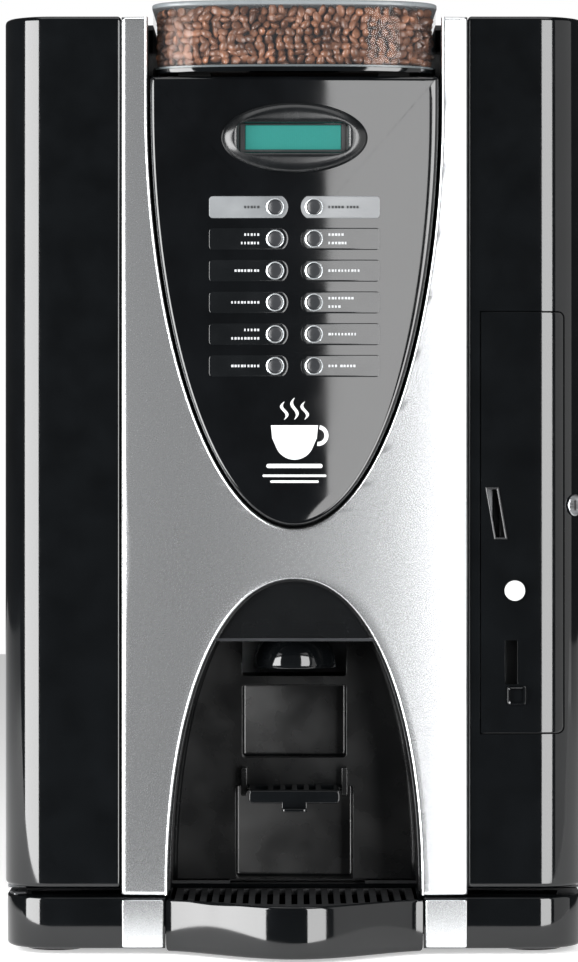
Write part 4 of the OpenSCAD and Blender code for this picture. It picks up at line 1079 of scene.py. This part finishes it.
KEEP = {
    "cabinet_shell": CABINET, "top_cover": CABINET, "rear_panel": CABINET, "hinge_pins": STEEL,
    "water_inlet": BRASS, "power_inlet": GREY, "bulkhead": SHEET, "boiler": STEEL, "pump": SHEET,
    "grinder_body": GREY, "brew_unit": GREY, "canisters": WHITE, "mixer_bowls": WHITE, "drive_motors": SHEET,
    "hoses": HOSE, "waste_bin": SATIN, "door_frame": CABINET, "control_board": BOARD, "coin_mechanism": GREY,
    "grinder_burr": STEEL, "brew_piston": WHITE, "auger_1": WHITE, "auger_2": WHITE, "auger_3": WHITE,
    "whipper_1": WHITE, "whipper_2": WHITE, "drip_grille": SATIN,
}
for node, mat in KEEP.items():
    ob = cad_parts[node]
    ob.data.materials.clear()
    ob.data.materials.append(mat)
    smooth(ob, 34)
# edge rounding in millimetres
for node, width in (("cabinet_shell", 0.6), ("top_cover", 1.2), ("rear_panel", 0.5), ("door_frame", 0.4),
                    ("drip_grille", 0.5), ("waste_bin", 0.8), ("canisters", 1.2), ("coin_mechanism", 0.8),
                    ("brew_unit", 0.8), ("grinder_body", 0.8), ("power_inlet", 0.5), ("bulkhead", 0.3)):
    bevel(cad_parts[node], width, 2)

# -------------------- floor, light and camera

scene = bpy.context.scene
fm = bpy.data.meshes.new("floor")
fm.from_pydata([(-3, -0.4, 0), (3, -0.4, 0), (3, 4, 0), (-3, 4, 0)], [], [(0, 1, 2, 3)])
floor = bpy.data.objects.new("floor", fm)
scene.collection.objects.link(floor)
fm.materials.append(material("floor_paper", (0.93, 0.93, 0.93), rough=0.9, vary=0.01, bump=0.02,
                              emission=(1, 1, 1), emission_strength=0.45))

world = bpy.data.worlds.new("studio")
scene.world = world
world.use_nodes = True
wn = world.node_tree
wn.nodes.clear()
out = wn.nodes.new("ShaderNodeOutputWorld")
mix = wn.nodes.new("ShaderNodeMixShader")
path = wn.nodes.new("ShaderNodeLightPath")
dim = wn.nodes.new("ShaderNodeBackground")
dim.inputs["Color"].default_value = (1, 1, 1, 1)
dim.inputs["Strength"].default_value = 0.05
white = wn.nodes.new("ShaderNodeBackground")
white.inputs["Color"].default_value = (1, 1, 1, 1)
white.inputs["Strength"].default_value = 1.0
wn.links.new(path.outputs["Is Camera Ray"], mix.inputs["Fac"])
wn.links.new(dim.outputs["Background"], mix.inputs[1])
wn.links.new(white.outputs["Background"], mix.inputs[2])
wn.links.new(mix.outputs["Shader"], out.inputs["Surface"])


def softbox(name, azimuth, dist, z, width, height, radiance, aim=(0, -0.2, 0.4), spread=180, color=(1, 1, 1)):
    """An area light at an angle from straight ahead, right positive, with a given brightness."""
    data = bpy.data.lights.new(name, "AREA")
    data.shape = "RECTANGLE"
    data.size = width
    data.size_y = height
    data.energy = radiance * math.pi * width * height
    data.color = color
    data.spread = math.radians(spread)
    ob = bpy.data.objects.new(name, data)
    scene.collection.objects.link(ob)
    a = math.radians(azimuth)
    ob.location = (dist * math.sin(a), -0.2 - dist * math.cos(a), z)
    ob.rotation_euler = (Vector(aim) - ob.location).to_track_quat("-Z", "Y").to_euler()
    return ob


softbox("strip_right", 31.5, 2.0, 0.42, 0.84, 2.3, 12.0, aim=(0, -0.2, 0.42))
softbox("box_left", -56, 1.7, 0.42, 1.0, 1.75, 16.0, aim=(0, -0.2, 0.42))
softbox("side_right", 72, 1.7, 0.42, 1.3, 2.2, 1.1, aim=(0, -0.2, 0.42))
softbox("top", 0, 0.2, 2.2, 1.6, 1.4, 2.0, aim=(0, 0, 0.7))

# a card to the right of the camera, reflected in the convex panel only
card = softbox("panel_card", 9.5, 2.6, 0.62, 0.56, 1.9, 7.5, aim=(0, -0.24, 0.5))
lit = bpy.data.collections.new("lit_by_card")
for ob in (pan, hood, dark_plates, grey_plate, light_plate):
    lit.objects.link(ob)
card.light_linking.receiver_collection = lit

cam_data = bpy.data.cameras.new("camera")
cam = bpy.data.objects.new("camera", cam_data)
scene.collection.objects.link(cam)
cam.location = (-0.0043, -3.232, 0.405)
cam.rotation_euler = (math.radians(90), 0, 0)
cam_data.lens = 142.7
cam_data.sensor_width = 36.0
cam_data.sensor_fit = "AUTO"
cam_data.shift_y = -0.042
scene.camera = cam
scene.view_settings.view_transform = "Standard"
